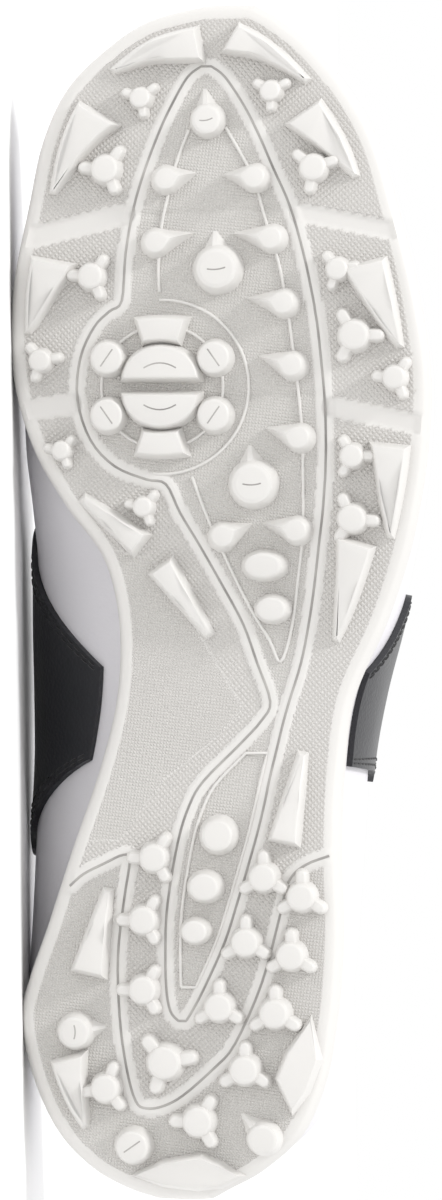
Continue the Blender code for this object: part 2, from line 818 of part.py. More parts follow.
def main():
    for item in list(bpy.data.objects):
        bpy.data.objects.remove(item)
    pieces = [
        make_outsole(),
        make_upper(),
        make_insole(),
        make_tongue(),
        make_laces(),
        make_panel("medial_panel", MEDIAL_PANEL, -1),
        make_panel("lateral_panel", LATERAL_PANEL, 1),
    ]
    lay_down(pieces)


main()
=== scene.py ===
"""Looks of a low-cut turf shoe for the left foot, which lies on its medial side.

The shoe is shaped in its own axes, x from heel to toe, y to the lateral side, z up from the plane
of the stud tips, and then laid down as the frame's two tread mounts say.
"""
import json
from math import atan2, cos, pi, radians, sin, tan

import bmesh
import bpy
import numpy as np
from mathutils import Matrix, Vector


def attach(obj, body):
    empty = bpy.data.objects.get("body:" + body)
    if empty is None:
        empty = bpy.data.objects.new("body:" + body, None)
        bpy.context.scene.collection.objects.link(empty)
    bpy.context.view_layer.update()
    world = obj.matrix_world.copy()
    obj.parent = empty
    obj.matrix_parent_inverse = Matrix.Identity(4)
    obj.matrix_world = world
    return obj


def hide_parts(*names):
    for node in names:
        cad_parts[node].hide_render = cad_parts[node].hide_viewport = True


bl_info = {
    "name": "Turf Shoe Looks",
    "version": (1, 0, 0),
    "blender": (4, 5, 0),
    "location": "3D View > Sidebar > Turf Shoe",
    "description": "Builds the rubber sole, leather upper, laces and studio of a turf shoe",
    "category": "Add Mesh",
}

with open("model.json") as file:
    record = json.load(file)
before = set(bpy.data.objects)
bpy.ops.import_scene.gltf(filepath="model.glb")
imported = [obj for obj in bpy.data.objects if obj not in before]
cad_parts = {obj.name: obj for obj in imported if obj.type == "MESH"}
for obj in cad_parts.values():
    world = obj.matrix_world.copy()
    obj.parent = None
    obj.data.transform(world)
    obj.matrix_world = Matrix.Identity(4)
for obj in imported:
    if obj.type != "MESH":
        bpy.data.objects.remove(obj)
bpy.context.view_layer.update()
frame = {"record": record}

# Driving sizes, in metres
LENGTH = 0.288
BALL_WIDTH = 0.1015
INSTEP_HEIGHT = 0.094
TOE_SPRING = 0.013
ARCH_RISE = 0.003
HEEL_BEVEL = 0.003
HEEL_WALL = 0.017
FORE_WALL = 0.0115
EDGE_ROLL = 0.003
UPPER_WALL = 0.002
COLLAR_PAD = 0.0035
FEATHER_INSET = 0.0024
CLEARANCE = 0.0003
INSOLE_THICKNESS = 0.0035
PANEL_THICKNESS = 0.0009
PANEL_GAP = 0.0007
TONGUE_THICKNESS = 0.0035
TONGUE_RADIUS = 0.027
TONGUE_UNDERLAP = 0.006
LACE_WIDTH = 0.0055
LACE_THICKNESS = 0.0016
LACE_LIFT = 0.0014
LACE_BOW = 0.0105
EYELET_DIAMETER = 0.004
EYELET_PAIRS = 6
TOP_INSET = 0.0011
WALL_INSET = 0.0006
WALL_LIFT = 0.0026
TOP_LEAN = 0.02
TONGUE_DROP = 0.0012
TONGUE_NARROW = 0.005
TONGUE_FRONT_HALF = 0.010
TONGUE_BACK_HALF = 0.0245
INSOLE_GAP = 0.0014

# Stud sizes, in metres
LUG_HEIGHT = 0.005
SATELLITE_HEIGHT = 0.0034
BLADE_HEIGHT = 0.0046
LUG_ROOT = 0.001
STUD_RADIUS = 0.004
CLUSTER_RADIUS = 0.003
LEAF_RADIUS = 0.003
BLADE_POINT = 0.0008
DRAFT = 0.28

# Sections of the sole from heel to toe.
# along: share of the length. medial, lateral: edge, as a share of the ball width.
SOLE = [
    (0.000, -0.10, 0.03),
    (0.008, -0.17, 0.07),
    (0.025, -0.255, 0.155),
    (0.055, -0.335, 0.245),
    (0.100, -0.395, 0.30),
    (0.150, -0.425, 0.325),
    (0.185, -0.405, 0.335),
    (0.230, -0.36, 0.34),
    (0.290, -0.305, 0.335),
    (0.360, -0.24, 0.34),
    (0.420, -0.20, 0.365),
    (0.480, -0.195, 0.44),
    (0.535, -0.23, 0.495),
    (0.580, -0.32, 0.525),
    (0.630, -0.40, 0.545),
    (0.690, -0.445, 0.55),
    (0.760, -0.445, 0.52),
    (0.830, -0.41, 0.47),
    (0.885, -0.38, 0.42),
    (0.930, -0.325, 0.345),
    (0.965, -0.23, 0.26),
    (0.988, -0.13, 0.18),
    (1.000, 0.00, 0.12),
]

# Ribs of the upper, each rising from the sole section of the same row to the collar or throat.
# top_along: share of the length. top_half: half width of the opening, share of the ball width.
# top_height: share of the instep height. pitch: slope of the wall at its top, in degrees.
# out_medial, out_lateral: how far the wall's widest line stands out past the sole's edge, share
# of the ball width. belly: height of that line above the sole's rim, share of the instep height.
UPPER = [
    (0.028, 0.030, 0.905, 80, -0.005, -0.005, 0.20),
    (0.030, 0.070, 0.905, 80, -0.005, -0.005, 0.20),
    (0.040, 0.125, 0.895, 80, -0.005, -0.005, 0.20),
    (0.060, 0.185, 0.870, 82, 0.00, 0.00, 0.20),
    (0.098, 0.240, 0.825, 84, 0.005, 0.00, 0.21),
    (0.145, 0.280, 0.775, 85, 0.02, 0.00, 0.22),
    (0.180, 0.300, 0.750, 85, 0.045, 0.00, 0.23),
    (0.225, 0.315, 0.730, 85, 0.085, 0.005, 0.24),
    (0.290, 0.320, 0.740, 84, 0.135, 0.02, 0.26),
    (0.350, 0.300, 0.810, 76, 0.195, 0.025, 0.28),
    (0.400, 0.265, 0.910, 62, 0.235, 0.03, 0.28),
    (0.440, 0.235, 0.985, 45, 0.24, 0.00, 0.27),
    (0.485, 0.210, 0.950, 40, 0.20, -0.015, 0.25),
    (0.525, 0.200, 0.900, 38, 0.115, -0.015, 0.21),
    (0.565, 0.190, 0.850, 36, 0.045, -0.015, 0.17),
    (0.605, 0.180, 0.800, 34, 0.00, -0.015, 0.15),
    (0.640, 0.165, 0.755, 30, -0.01, -0.015, 0.13),
    (0.668, 0.140, 0.720, 26, -0.012, -0.015, 0.12),
    (0.685, 0.110, 0.700, 22, -0.012, -0.012, 0.12),
    (0.696, 0.080, 0.685, 18, -0.012, -0.012, 0.12),
    (0.702, 0.050, 0.675, 16, -0.012, -0.012, 0.12),
    (0.705, 0.028, 0.670, 15, -0.012, -0.012, 0.12),
    (0.706, 0.010, 0.670, 15, -0.012, -0.012, 0.12),
]

# Clusters: a round stud with three low fins. along, across, size, turn in degrees.
CLUSTERS = [
    (0.920, -0.14, 0.90, 50),
    (0.925, 0.17, 0.90, 60),
    (0.860, -0.22, 1.20, 35),
    (0.860, 0.275, 1.15, 70),
    (0.770, -0.25, 1.10, 35),
    (0.775, 0.335, 0.95, 80),
    (0.720, 0.375, 1.30, 90),
    (0.685, 0.47, 1.00, 35),
    (0.700, -0.37, 0.95, 80),
    (0.625, -0.32, 0.80, 40),
    (0.620, 0.37, 1.00, 90),
    (0.568, 0.37, 1.20, 95),
    (0.578, -0.125, 0.85, 40),
    (0.286, -0.10, 1.20, 30),
    (0.234, -0.125, 1.20, 30),
    (0.176, -0.125, 1.20, 30),
    (0.270, 0.16, 1.20, 0),
    (0.216, 0.118, 1.20, 0),
    (0.162, 0.055, 1.20, 0),
    (0.254, 0.25, 1.20, 0),
    (0.205, 0.225, 1.20, 0),
    (0.157, 0.187, 1.25, 0),
    (0.110, 0.116, 1.25, 0),
    (0.094, -0.215, 1.20, 20),
    (0.067, 0.006, 1.30, 30),
    (0.116, -0.074, 1.45, 80),
]

# Studs with a tail: centre along and across, share of the stud radius, tail tip along and across.
TEARDROPS = [
    (0.901, 0.02, 1.00, 0.931, 0.008),
    (0.776, 0.05, 1.38, 0.811, 0.04),
    (0.597, 0.135, 1.38, 0.632, 0.124),
    (0.141, -0.287, 1.05, 0.145, -0.212),
    (0.053, 0.16, 1.00, 0.075, 0.102),
]

# Leaves, the short studs that point to the middle of the forefoot: round end, then tip.
LEAVES = [
    (0.851, -0.078, 0.857, 0.00),
    (0.798, -0.10, 0.807, 0.00),
    (0.553, 0.06, 0.565, 0.135),
    (0.852, 0.138, 0.855, 0.05),
    (0.801, 0.18, 0.806, 0.074),
    (0.747, 0.21, 0.752, 0.112),
    (0.695, 0.23, 0.704, 0.14),
    (0.635, 0.247, 0.644, 0.157),
    (0.558, 0.24, 0.565, 0.147),
]

# Round and oval studs: along, across, half length and half width as shares of the stud radius.
ROUNDS = [
    (0.529, 0.16, 0.85, 1.25),
    (0.493, 0.178, 0.80, 1.00),
    (0.305, 0.052, 1.05, 1.05),
    (0.262, 0.021, 0.90, 1.00),
    (0.225, -0.002, 0.75, 0.85),
    (0.046, -0.15, 1.05, 1.05),
    (0.020, -0.024, 0.75, 3.25),
]

# Edge blades: side, along at the broad end, along at the point, then inset and breadth as shares
# of the stud radius.
EDGE_BLADES = [
    (-1, 0.998, 0.960, 1.40, 1.75),
    (1, 1.000, 0.950, 1.55, 1.55),
    (-1, 0.925, 0.845, 1.38, 2.38),
    (1, 0.930, 0.862, 1.80, 2.12),
    (-1, 0.788, 0.725, 1.12, 2.25),
    (1, 0.788, 0.715, 1.50, 2.25),
    (1, 0.625, 0.550, 1.15, 1.88),
    (1, 0.535, 0.455, 2.12, 1.88),
    (-1, 0.108, 0.048, 1.62, 1.75),
]

# Inner blades: along, across and breadth at one end, then the same at the other end, the breadths
# as shares of the stud radius.
INNER_BLADES = [
    (0.585, -0.270, 0.38, 0.547, -0.135, 1.38),
    (0.528, -0.085, 1.50, 0.472, 0.025, 0.38),
    (0.372, 0.248, 0.38, 0.300, 0.208, 1.62),
    (0.258, -0.212, 0.38, 0.190, -0.256, 1.88),
    (0.150, 0.268, 0.38, 0.108, 0.240, 2.00),
    (0.108, 0.240, 2.00, 0.076, 0.228, 0.38),
]

# Turning pad under the ball of the foot
PAD_ALONG = 0.678
PAD_ACROSS = -0.083
PAD_MOON_HALF = 0.0092
PAD_MOON_DEPTH = 0.0080
PAD_MOON_GAP = 0.0018
PAD_KEY_FROM = 0.0110
PAD_KEY_TO = 0.0166
PAD_KEY_NEAR = 0.0042
PAD_KEY_FAR = 0.0060
PAD_ROUND_RADIUS = 0.0042
PAD_ROUND_REACH = 0.0146
PAD_ROUND_TURN = radians(62)

# Side panels: share of the wall's height, then the sole row of the front and of the back edge.
MEDIAL_PANEL = [
    (0.05, 10.4, 9.1),
    (0.36, 12.5, 7.9),
    (0.58, 13.0, 8.2),
    (0.74, 13.2, 8.7),
]
LATERAL_PANEL = [
    (0.05, 10.3, 9.0),
    (0.36, 11.4, 8.9),
    (0.48, 11.4, 8.8),
    (0.57, 11.3, 9.1),
]

# Fineness of the faceted solids
SOLE_STEPS = 2
UPPER_STEPS = 2
WALL_LOW_STEPS = 3
WALL_HIGH_STEPS = 6
LAST_ROW = len(SOLE) - 1
BELLY_SHARE = 0.3
EYELET_SHARE = 0.88
FIRST_EYELET = 0.662
LAST_EYELET = 0.456
TONGUE_FRONT = 0.728
TONGUE_BACK = 0.375
THROAT_ROW = 11
COLLAR_ROW = 9.4

# Island of the sole, ringed by the long groove: along, medial and lateral side of the groove.
ISLAND = [
    (0.150, -0.044, -0.026),
    (0.158, -0.063, -0.012),
    (0.178, -0.073, 0.018),
    (0.215, -0.075, 0.065),
    (0.250, -0.069, 0.097),
    (0.300, -0.045, 0.138),
    (0.330, -0.019, 0.158),
    (0.350, 0.014, 0.169),
    (0.380, 0.098, 0.189),
    (0.400, 0.150, 0.203),
    (0.416, 0.171, 0.216),
    (0.448, 0.140, 0.244),
    (0.480, 0.107, 0.262),
    (0.512, 0.059, 0.276),
    (0.545, 0.007, 0.288),
    (0.573, -0.040, 0.298),
    (0.597, -0.074, 0.303),
    (0.601, -0.121, 0.304),
    (0.612, -0.196, 0.305),
    (0.634, -0.254, 0.306),
    (0.668, -0.285, 0.303),
    (0.702, -0.278, 0.294),
    (0.728, -0.245, 0.286),
    (0.741, -0.209, 0.280),
    (0.750, -0.179, 0.276),
    (0.789, -0.171, 0.252),
    (0.828, -0.153, 0.219),
    (0.860, -0.128, 0.178),
    (0.892, -0.096, 0.137),
    (0.916, -0.066, 0.100),
    (0.938, -0.032, 0.057),
    (0.947, 0.000, 0.024),
]

# Open groove round the heel plate, from the medial edge to the lateral edge: along, across.
HEEL_GROOVE = [
    (0.262, -0.303), (0.272, -0.270), (0.281, -0.220), (0.288, -0.176),
    (0.2835, -0.160), (0.252, -0.173), (0.204, -0.188), (0.153, -0.184), (0.111, -0.168),
    (0.083, -0.146), (0.077, -0.120), (0.079, -0.080), (0.088, -0.033), (0.110, 0.038),
    (0.131, 0.090), (0.182, 0.154), (0.238, 0.197), (0.266, 0.217), (0.280, 0.256),
    (0.288, 0.314),
]

# Thin raised ribs of the island: along, across.
RIBS = [
    [(0.895, 0.062), (0.854, 0.128), (0.813, 0.164), (0.771, 0.200), (0.709, 0.228),
     (0.650, 0.247), (0.594, 0.252), (0.552, 0.249), (0.519, 0.238), (0.476, 0.221),
     (0.449, 0.195), (0.467, 0.169), (0.491, 0.128), (0.519, 0.088), (0.568, 0.026),
     (0.603, -0.012)],
    [(0.893, -0.026), (0.864, -0.055), (0.835, -0.074), (0.812, -0.086), (0.783, -0.093),
     (0.757, -0.090)],
]

# Smooth flex bands, sunk between the knurled fields: ends as along and across, half breadth.
BANDS = [
    (0.803, -0.400, 0.822, -0.178, 0.0026),
    (0.806, 0.480, 0.823, 0.240, 0.0022),
    (0.657, -0.440, 0.664, -0.300, 0.0026),
    (0.645, 0.540, 0.661, 0.320, 0.0024),
]
CREASES = [
    (0.822, -0.160, 0.828, 0.210, 0.0012),
    (0.667, -0.270, 0.672, 0.290, 0.0012),
]

# Studs at the back of the heel: along, across, share of the blade height at each corner.
HEEL_CHEVRON = [
    (0.021, -0.150, 0.35), (0.032, -0.080, 0.9), (0.0375, 0.010, 1.0), (0.031, 0.055, 1.0),
    (0.021, 0.100, 0.5), (0.013, 0.055, 0.9), (0.010, 0.000, 0.9), (0.013, -0.080, 0.8),
]
HEEL_KITE = [
    (0.152, 0.270, 0.3), (0.125, 0.218, 0.9), (0.103, 0.192, 1.0), (0.076, 0.228, 0.9),
    (0.092, 0.262, 0.9), (0.119, 0.290, 0.9),
]

# Slits on the studs with a tail, then on the round one at the heel: turn in degrees.
SLIT_TURNS = (80, 85, 88, 0, 30, 55)
SLIT_WIDTH = 0.00035

# Bare arch with the fine texture, between the knurled bands: along, across.
ARCH = [
    (0.546, -0.250), (0.520, -0.215), (0.470, -0.165), (0.420, -0.170), (0.360, -0.205),
    (0.300, -0.265), (0.300, -0.185), (0.350, -0.085), (0.385, 0.040), (0.410, 0.105),
    (0.455, 0.030), (0.500, -0.045), (0.535, -0.110),
]

HEX = {
    "rubber_white": "#D8D6D3",
    # Darker rubber tone, painted as shade in the texture hollows and in the groove lines
    "rubber_painted_shade": "#CECBC7",
    # Dark grey painted as the shadow down in the grooves and slits
    "groove_shadow_grey": "#4A4846",
    "leather_white": "#E0DEE2",
    "leather_dark": "#17181E",
    "thread_dark": "#0C0C0F",
    "lining_grey": "#8A8B8E",
    "lace_white": "#ECEBE8",
    "floor_white": "#F6F6F6",
}


def mix(low, high, share):
    return low + (high - low) * share


def ease(share):
    share = min(max(share, 0.0), 1.0)
    return share * share * (3 - 2 * share)


def row_at(table, row):
    """Values of a table at a row number between its rows, on a smooth curve through them."""
    last = len(table) - 1
    row = min(max(row, 0.0), float(last))
    start = min(int(row), last - 1)
    t = row - start
    before = table[max(start - 1, 0)]
    after = table[min(start + 2, last)]
    values = []
    for p0, p1, p2, p3 in zip(before, table[start], table[start + 1], after):
        bend = 2 * p0 - 5 * p1 + 4 * p2 - p3
        twist = 3 * (p1 - p2) + p3 - p0
        values.append(0.5 * (2 * p1 + (p2 - p0) * t + bend * t * t + twist * t ** 3))
    return values


def sole_row(along):
    """Row number of the sole section at a share of the length."""
    low, high = 0.0, float(LAST_ROW)
    for _ in range(40):
        middle = (low + high) / 2
        if row_at(SOLE, middle)[0] < along:
            low = middle
        else:
            high = middle
    return low


def edge(row, side):
    along, medial, lateral = row_at(SOLE, row)
    return Vector((along * LENGTH, (medial if side < 0 else lateral) * BALL_WIDTH, 0))


def inward(row, side):
    """Level direction from the sole's edge to its middle, square to the edge."""
    step = 0.05
    run = edge(min(row + step, LAST_ROW), side) - edge(max(row - step, 0), side)
    return Vector((side * run.y, -side * run.x, 0)).normalized()


def plate_z(x):
    """Height of the plate's underside, from which the studs stand down."""
    along = x / LENGTH
    toe = TOE_SPRING * ease((along - 0.70) / 0.38) ** 1.5 * 1.12
    arch = ARCH_RISE * ease((along - 0.28) / 0.1) * ease((0.58 - along) / 0.1)
    heel = HEEL_BEVEL * ease((0.07 - along) / 0.09)
    return LUG_HEIGHT + toe + arch + heel


def rim_z(x):
    """Height of the sole's top."""
    return plate_z(x) + mix(FORE_WALL, HEEL_WALL, ease((0.62 - x / LENGTH) / 0.3))


def middle_y(along):
    """Middle line of the collar and throat."""
    return mix(-0.045, 0.06, along) * BALL_WIDTH


def place(along, across):
    return Vector((along * LENGTH, across * BALL_WIDTH, 0))


def oval(centre, half_x, half_y, sides):
    turns = [2 * pi * i / sides for i in range(sides)]
    return [centre + Vector((half_x * cos(turn), half_y * sin(turn), 0)) for turn in turns]


def foot_point(row, side):
    """Where the upper's outer face stands on the sole."""
    point = edge(row, side) + inward(row, side) * FEATHER_INSET
    point.z = rim_z(point.x) + CLEARANCE
    return point


def top_point(row, side):
    top_along, top_half, top_height = row_at(UPPER, row)[:3]
    y = middle_y(top_along) + side * top_half * BALL_WIDTH
    return Vector((top_along * LENGTH, y, top_height * INSTEP_HEIGHT))


def upper_point(row, side, share):
    """Outer face of the upper. share runs from 0 at the sole to 1 at the collar or throat."""
    pitch, out_medial, out_lateral, belly = row_at(UPPER, row)[3:]
    foot = foot_point(row, side)
    top = top_point(row, side)
    out = -inward(row, side)
    ends = ease((abs(row_at(SOLE, row)[0] - 0.5) - 0.3) / 0.15)
    out = Vector((out.x * ends, out.y, 0)).normalized()
    widest = edge(row, side) + out * (out_medial if side < 0 else out_lateral) * BALL_WIDTH
    widest.z = foot.z + belly * INSTEP_HEIGHT
    if share < BELLY_SHARE:
        t = share / BELLY_SHARE
        corner = Vector((widest.x, widest.y, mix(foot.z, widest.z, 0.45)))
        return foot * (1 - t) ** 2 + corner * 2 * t * (1 - t) + widest * t * t
    t = (share - BELLY_SHARE) / (1 - BELLY_SHARE)
    level = Vector((top.x - widest.x, top.y - widest.y, 0)) - out * TOP_LEAN
    level.normalize()
    slope = level * cos(radians(pitch)) + Vector((0, 0, sin(radians(pitch))))
    span = (top - widest).length
    rise = widest + Vector((0, 0, mix(0.24, 0.4, pitch / 90) * span))
    fall = top - slope * 0.36 * span
    near = widest * (1 - t) ** 3 + rise * 3 * t * (1 - t) ** 2
    return near + fall * 3 * t * t * (1 - t) + top * t ** 3


def upper_normal(row, side, share):
    step = 0.02
    up = upper_point(row, side, min(share + step, 1)) - upper_point(row, side, max(share - step, 0))
    ahead = upper_point(min(row + step, LAST_ROW), side, share)
    behind = upper_point(max(row - step, 0), side, share)
    return (ahead - behind).cross(up).normalized() * -side


def wall_at(row, share):
    """Thickness of the upper: plain leather below, padded round the ankle."""
    pad = ease((COLLAR_ROW - row) / 2) * ease((share - 0.55) / 0.3)
    return UPPER_WALL + COLLAR_PAD * pad


def round_rows(steps):
    """Row and side of each rib, up the medial side and back down the lateral side."""
    rows = [i / steps for i in range(LAST_ROW * steps + 1)]
    return [(row, -1) for row in rows] + [(row, 1) for row in reversed(rows)]


def wall_shares(low_steps, high_steps):
    low = [BELLY_SHARE * i / low_steps for i in range(low_steps)]
    return low + [mix(BELLY_SHARE, 1, i / high_steps) for i in range(high_steps + 1)]


def eyelet(pair, side):
    """Point on the upper's outer face, its normal, for a pair counted from the toe."""
    along = mix(FIRST_EYELET, LAST_EYELET, pair / (EYELET_PAIRS - 1))
    low, high = COLLAR_ROW, float(LAST_ROW)
    for _ in range(30):
        row = (low + high) / 2
        if row_at(UPPER, row)[0] < along:
            low = row
        else:
            high = row
    return upper_point(row, side, EYELET_SHARE), upper_normal(row, side, EYELET_SHARE)


def throat_at(along):
    """Half width and height of the throat's edges at a share of the length."""
    rows = [row[:3] for row in UPPER[THROAT_ROW:]]
    if along <= rows[0][0]:
        rise = (rows[0][0] - along) * LENGTH * tan(radians(26))
        return rows[0][1] * BALL_WIDTH, rows[0][2] * INSTEP_HEIGHT + rise
    for low, high in zip(rows, rows[1:]):
        if along <= high[0]:
            share = (along - low[0]) / (high[0] - low[0])
            half = mix(low[1], high[1], share) * BALL_WIDTH
            return half, mix(low[2], high[2], share) * INSTEP_HEIGHT
    fall = (along - rows[-1][0]) * LENGTH * tan(radians(15))
    return rows[-1][1] * BALL_WIDTH, rows[-1][2] * INSTEP_HEIGHT - fall


def tongue_top(along, across):
    """Height of the tongue's outer face."""
    half, height = throat_at(along)
    drop = UPPER_WALL + CLEARANCE + TONGUE_DROP
    return height + (half * half - across * across) / (2 * TONGUE_RADIUS) - drop


class TurfShoeSettings(bpy.types.PropertyGroup):
    groove_width: bpy.props.FloatProperty(
        name="Groove width", description="Breadth of the long groove", default=0.0006,
        unit="LENGTH")
    groove_depth: bpy.props.FloatProperty(
        name="Groove depth", description="Depth of the long groove", default=0.0016,
        unit="LENGTH")
    rib_width: bpy.props.FloatProperty(
        name="Rib width", description="Breadth of the raised ribs", default=0.0008,
        unit="LENGTH")
    rib_height: bpy.props.FloatProperty(
        name="Rib height", description="Height of the raised ribs", default=0.0005,
        unit="LENGTH")
    bead_width: bpy.props.FloatProperty(
        name="Bead width", description="Smooth strip on each side of the groove", default=0.0017,
        unit="LENGTH")
    bead_height: bpy.props.FloatProperty(
        name="Bead height", description="Height of the smooth strip", default=0.0004,
        unit="LENGTH")
    band_depth: bpy.props.FloatProperty(
        name="Band depth", description="Depth of the flex bands", default=0.0007,
        unit="LENGTH")
    knurl_pitch: bpy.props.FloatProperty(
        name="Knurl pitch", description="Spacing of the diamond knurl in millimetres",
        default=1.2)
    weave_pitch: bpy.props.FloatProperty(
        name="Weave pitch", description="Spacing of the fine square texture in millimetres",
        default=0.78)
    stud_bevel: bpy.props.FloatProperty(
        name="Stud bevel", description="Rounding of the stud edges", default=0.00022,
        unit="LENGTH")
    stitch_length: bpy.props.FloatProperty(
        name="Stitch length", description="Length of one stitch", default=0.0022,
        unit="LENGTH")
    camera_distance: bpy.props.FloatProperty(
        name="Camera distance", description="From the sole to the camera", default=1.6,
        unit="LENGTH")


def colour(name):
    """Linear colour of a named sRGB hex value."""
    text = HEX[name].lstrip("#")
    values = [int(text[i:i + 2], 16) / 255 for i in (0, 2, 4)]
    linear = [v / 12.92 if v <= 0.04045 else ((v + 0.055) / 1.055) ** 2.4 for v in values]
    return (*linear, 1)


def lying_matrix():
    """Turn and shift from the shoe's own axes to the lying shoe, read from the tread mounts."""
    mounts = {mount["name"]: mount for mount in frame["record"]["mounts"]}
    fore = Vector(mounts["tread_forefoot"]["pos_m"])
    heel = Vector(mounts["tread_heel"]["pos_m"])
    up = -Vector(mounts["tread_forefoot"]["axis"]).normalized()
    own_fore = place(PAD_ALONG, PAD_ACROSS) - Vector((0.005, 0, 0))
    own_heel = place(0.116, -0.074)
    own_run = (own_fore - own_heel).normalized()
    own_up = Vector((0, 0, 1))
    run = fore - heel
    run = (run - up * run.dot(up)).normalized()
    own = Matrix((own_run, own_up.cross(own_run), own_up)).transposed()
    world = Matrix((run, up.cross(run), up)).transposed()
    turn = world @ own.inverted()
    return Matrix.Translation(fore - turn @ own_fore) @ turn.to_4x4()


def add_node(tree, kind, settings=None, **links):
    """Add a shader node, set its plain properties and inputs, and link its inputs."""
    node = tree.nodes.new(kind)
    for key, value in (settings or {}).items():
        if key in node.inputs:
            node.inputs[key].default_value = value
        else:
            setattr(node, key, value)
    for key, source in links.items():
        socket = node.inputs[int(key[1:])] if key[0] == "i" and key[1:].isdigit() else node.inputs[key]
        tree.links.new(source, socket)
    return node


def new_material(name, base, roughness, **extra):
    material = bpy.data.materials.new(name)
    material.use_nodes = True
    tree = material.node_tree
    shader = tree.nodes["Principled BSDF"]
    shader.inputs["Base Color"].default_value = colour(base)
    shader.inputs["Roughness"].default_value = roughness
    for key, value in extra.items():
        shader.inputs[key.replace("_", " ")].default_value = value
    return material, tree, shader


def maths(tree, operation, *values):
    """Math node whose inputs are sockets or numbers."""
    node = tree.nodes.new("ShaderNodeMath")
    node.operation = operation
    for i, value in enumerate(values):
        if isinstance(value, (int, float)):
            node.inputs[i].default_value = value
        else:
            tree.links.new(value, node.inputs[i])
    return node.outputs[0]


def moulded_rubber(settings):
    """Injection-moulded white rubber: satin, with crisp knurl and a fine square texture, and painted shade
    darkening the hollows of both.
    """
    material, tree, shader = new_material("white_moulded_rubber", "rubber_white", 0.42)
    shader.inputs["Specular IOR Level"].default_value = 0.45
    plan = add_node(tree, "ShaderNodeUVMap", {"uv_map": "plan"}).outputs[0]
    knurl_mask = add_node(tree, "ShaderNodeAttribute", {"attribute_name": "knurl"}).outputs["Fac"]
    weave_mask = add_node(tree, "ShaderNodeAttribute", {"attribute_name": "weave"}).outputs["Fac"]
    parts = add_node(tree, "ShaderNodeSeparateXYZ", i0=plan).outputs
    x, y = parts[0], parts[1]
    lean = 0.18
    ax = maths(tree, "ADD", x, maths(tree, "MULTIPLY", y, 1 + lean))
    ay = maths(tree, "SUBTRACT", x, maths(tree, "MULTIPLY", y, 1 - lean))
    half = settings.knurl_pitch * 0.62
    first = maths(tree, "PINGPONG", ax, half)
    second = maths(tree, "PINGPONG", ay, half)
    knurl = maths(tree, "MINIMUM", first, second)
    knurl = maths(tree, "MULTIPLY", maths(tree, "MULTIPLY", knurl, knurl_mask), 0.55)
    step = settings.weave_pitch / 2
    wx = maths(tree, "PINGPONG", maths(tree, "ADD", x, maths(tree, "MULTIPLY", y, 0.12)), step)
    wy = maths(tree, "PINGPONG", maths(tree, "SUBTRACT", y, maths(tree, "MULTIPLY", x, 0.12)), step)
    weave = maths(tree, "MULTIPLY", maths(tree, "MULTIPLY", maths(tree, "MINIMUM", wx, wy), weave_mask), 0.8)
    grain = add_node(tree, "ShaderNodeTexNoise", {"Scale": 1.6, "Detail": 3.0}, Vector=plan).outputs[0]
    height = maths(tree, "ADD", maths(tree, "ADD", knurl, weave), maths(tree, "MULTIPLY", grain, 0.012))
    bump = add_node(tree, "ShaderNodeBump", {"Distance": 0.001, "Strength": 1.0}, Height=height)
    tree.links.new(bump.outputs[0], shader.inputs["Normal"])
    # Painted shade: the colour goes darker in the hollows of the knurl and the square texture, lighter
    # towards their tops, and stays white on plain rubber.
    painted_shade_mix = add_node(tree, "ShaderNodeMix", {"data_type": "RGBA"})
    painted_shade_mix.inputs[6].default_value = colour("rubber_painted_shade")
    painted_shade_mix.inputs[7].default_value = colour("rubber_white")
    relief = maths(tree, "ADD", maths(tree, "MULTIPLY", knurl, 2.2), maths(tree, "MULTIPLY", weave, 2.6))
    plain = maths(tree, "SUBTRACT", 1.0, maths(tree, "MAXIMUM", knurl_mask, weave_mask))
    share = maths(tree, "ADD", relief, plain)
    share = maths(tree, "MINIMUM", share, 1.0)
    tree.links.new(share, painted_shade_mix.inputs[0])
    tree.links.new(painted_shade_mix.outputs[2], shader.inputs["Base Color"])
    return material


def painted_groove_shadow():
    """Painted shadow for the grooves and slits: the same rubber, dull, in a dark grey that stands in for the
    shade down in them, mottled at random.
    """
    material, tree, shader = new_material("grey_painted_groove_shadow", "groove_shadow_grey", 0.8)
    place_at = add_node(tree, "ShaderNodeTexCoord").outputs["Object"]
    # Painted shadow: noise mixes the dark grey with the darker rubber tone
    shadow_mottle = add_node(tree, "ShaderNodeTexNoise", {"Scale": 90.0, "Detail": 3.0}, Vector=place_at)
    painted_shade_mix = add_node(tree, "ShaderNodeMix", {"data_type": "RGBA"}, i0=shadow_mottle.outputs[0])
    painted_shade_mix.inputs[6].default_value = colour("groove_shadow_grey")
    painted_shade_mix.inputs[7].default_value = colour("rubber_painted_shade")
    tree.links.new(painted_shade_mix.outputs[2], shader.inputs["Base Color"])
    return material


def smooth_leather(name, base, roughness, pebble, coat):
    """Coated full-grain leather: fine pebbled grain, slight waviness and a thin clear coat."""
    material, tree, shader = new_material(name, base, roughness)
    shader.inputs["Coat Weight"].default_value = coat
    shader.inputs["Coat Roughness"].default_value = 0.3
    place_at = add_node(tree, "ShaderNodeTexCoord").outputs["Object"]
    cells = add_node(tree, "ShaderNodeTexVoronoi", {"Scale": 1100.0}, Vector=place_at).outputs["Distance"]
    wave = add_node(tree, "ShaderNodeTexNoise", {"Scale": 55.0, "Detail": 4.0}, Vector=place_at).outputs[0]
    height = maths(tree, "ADD", maths(tree, "MULTIPLY", cells, pebble), maths(tree, "MULTIPLY", wave, 0.35))
    bump = add_node(tree, "ShaderNodeBump", {"Distance": 0.0004, "Strength": 0.6}, Height=height)
    tree.links.new(bump.outputs[0], shader.inputs["Normal"])
    rough = add_node(tree, "ShaderNodeMapRange", {"To Min": roughness - 0.08, "To Max": roughness + 0.1},
                     i0=wave)
    tree.links.new(rough.outputs[0], shader.inputs["Roughness"])
    return material


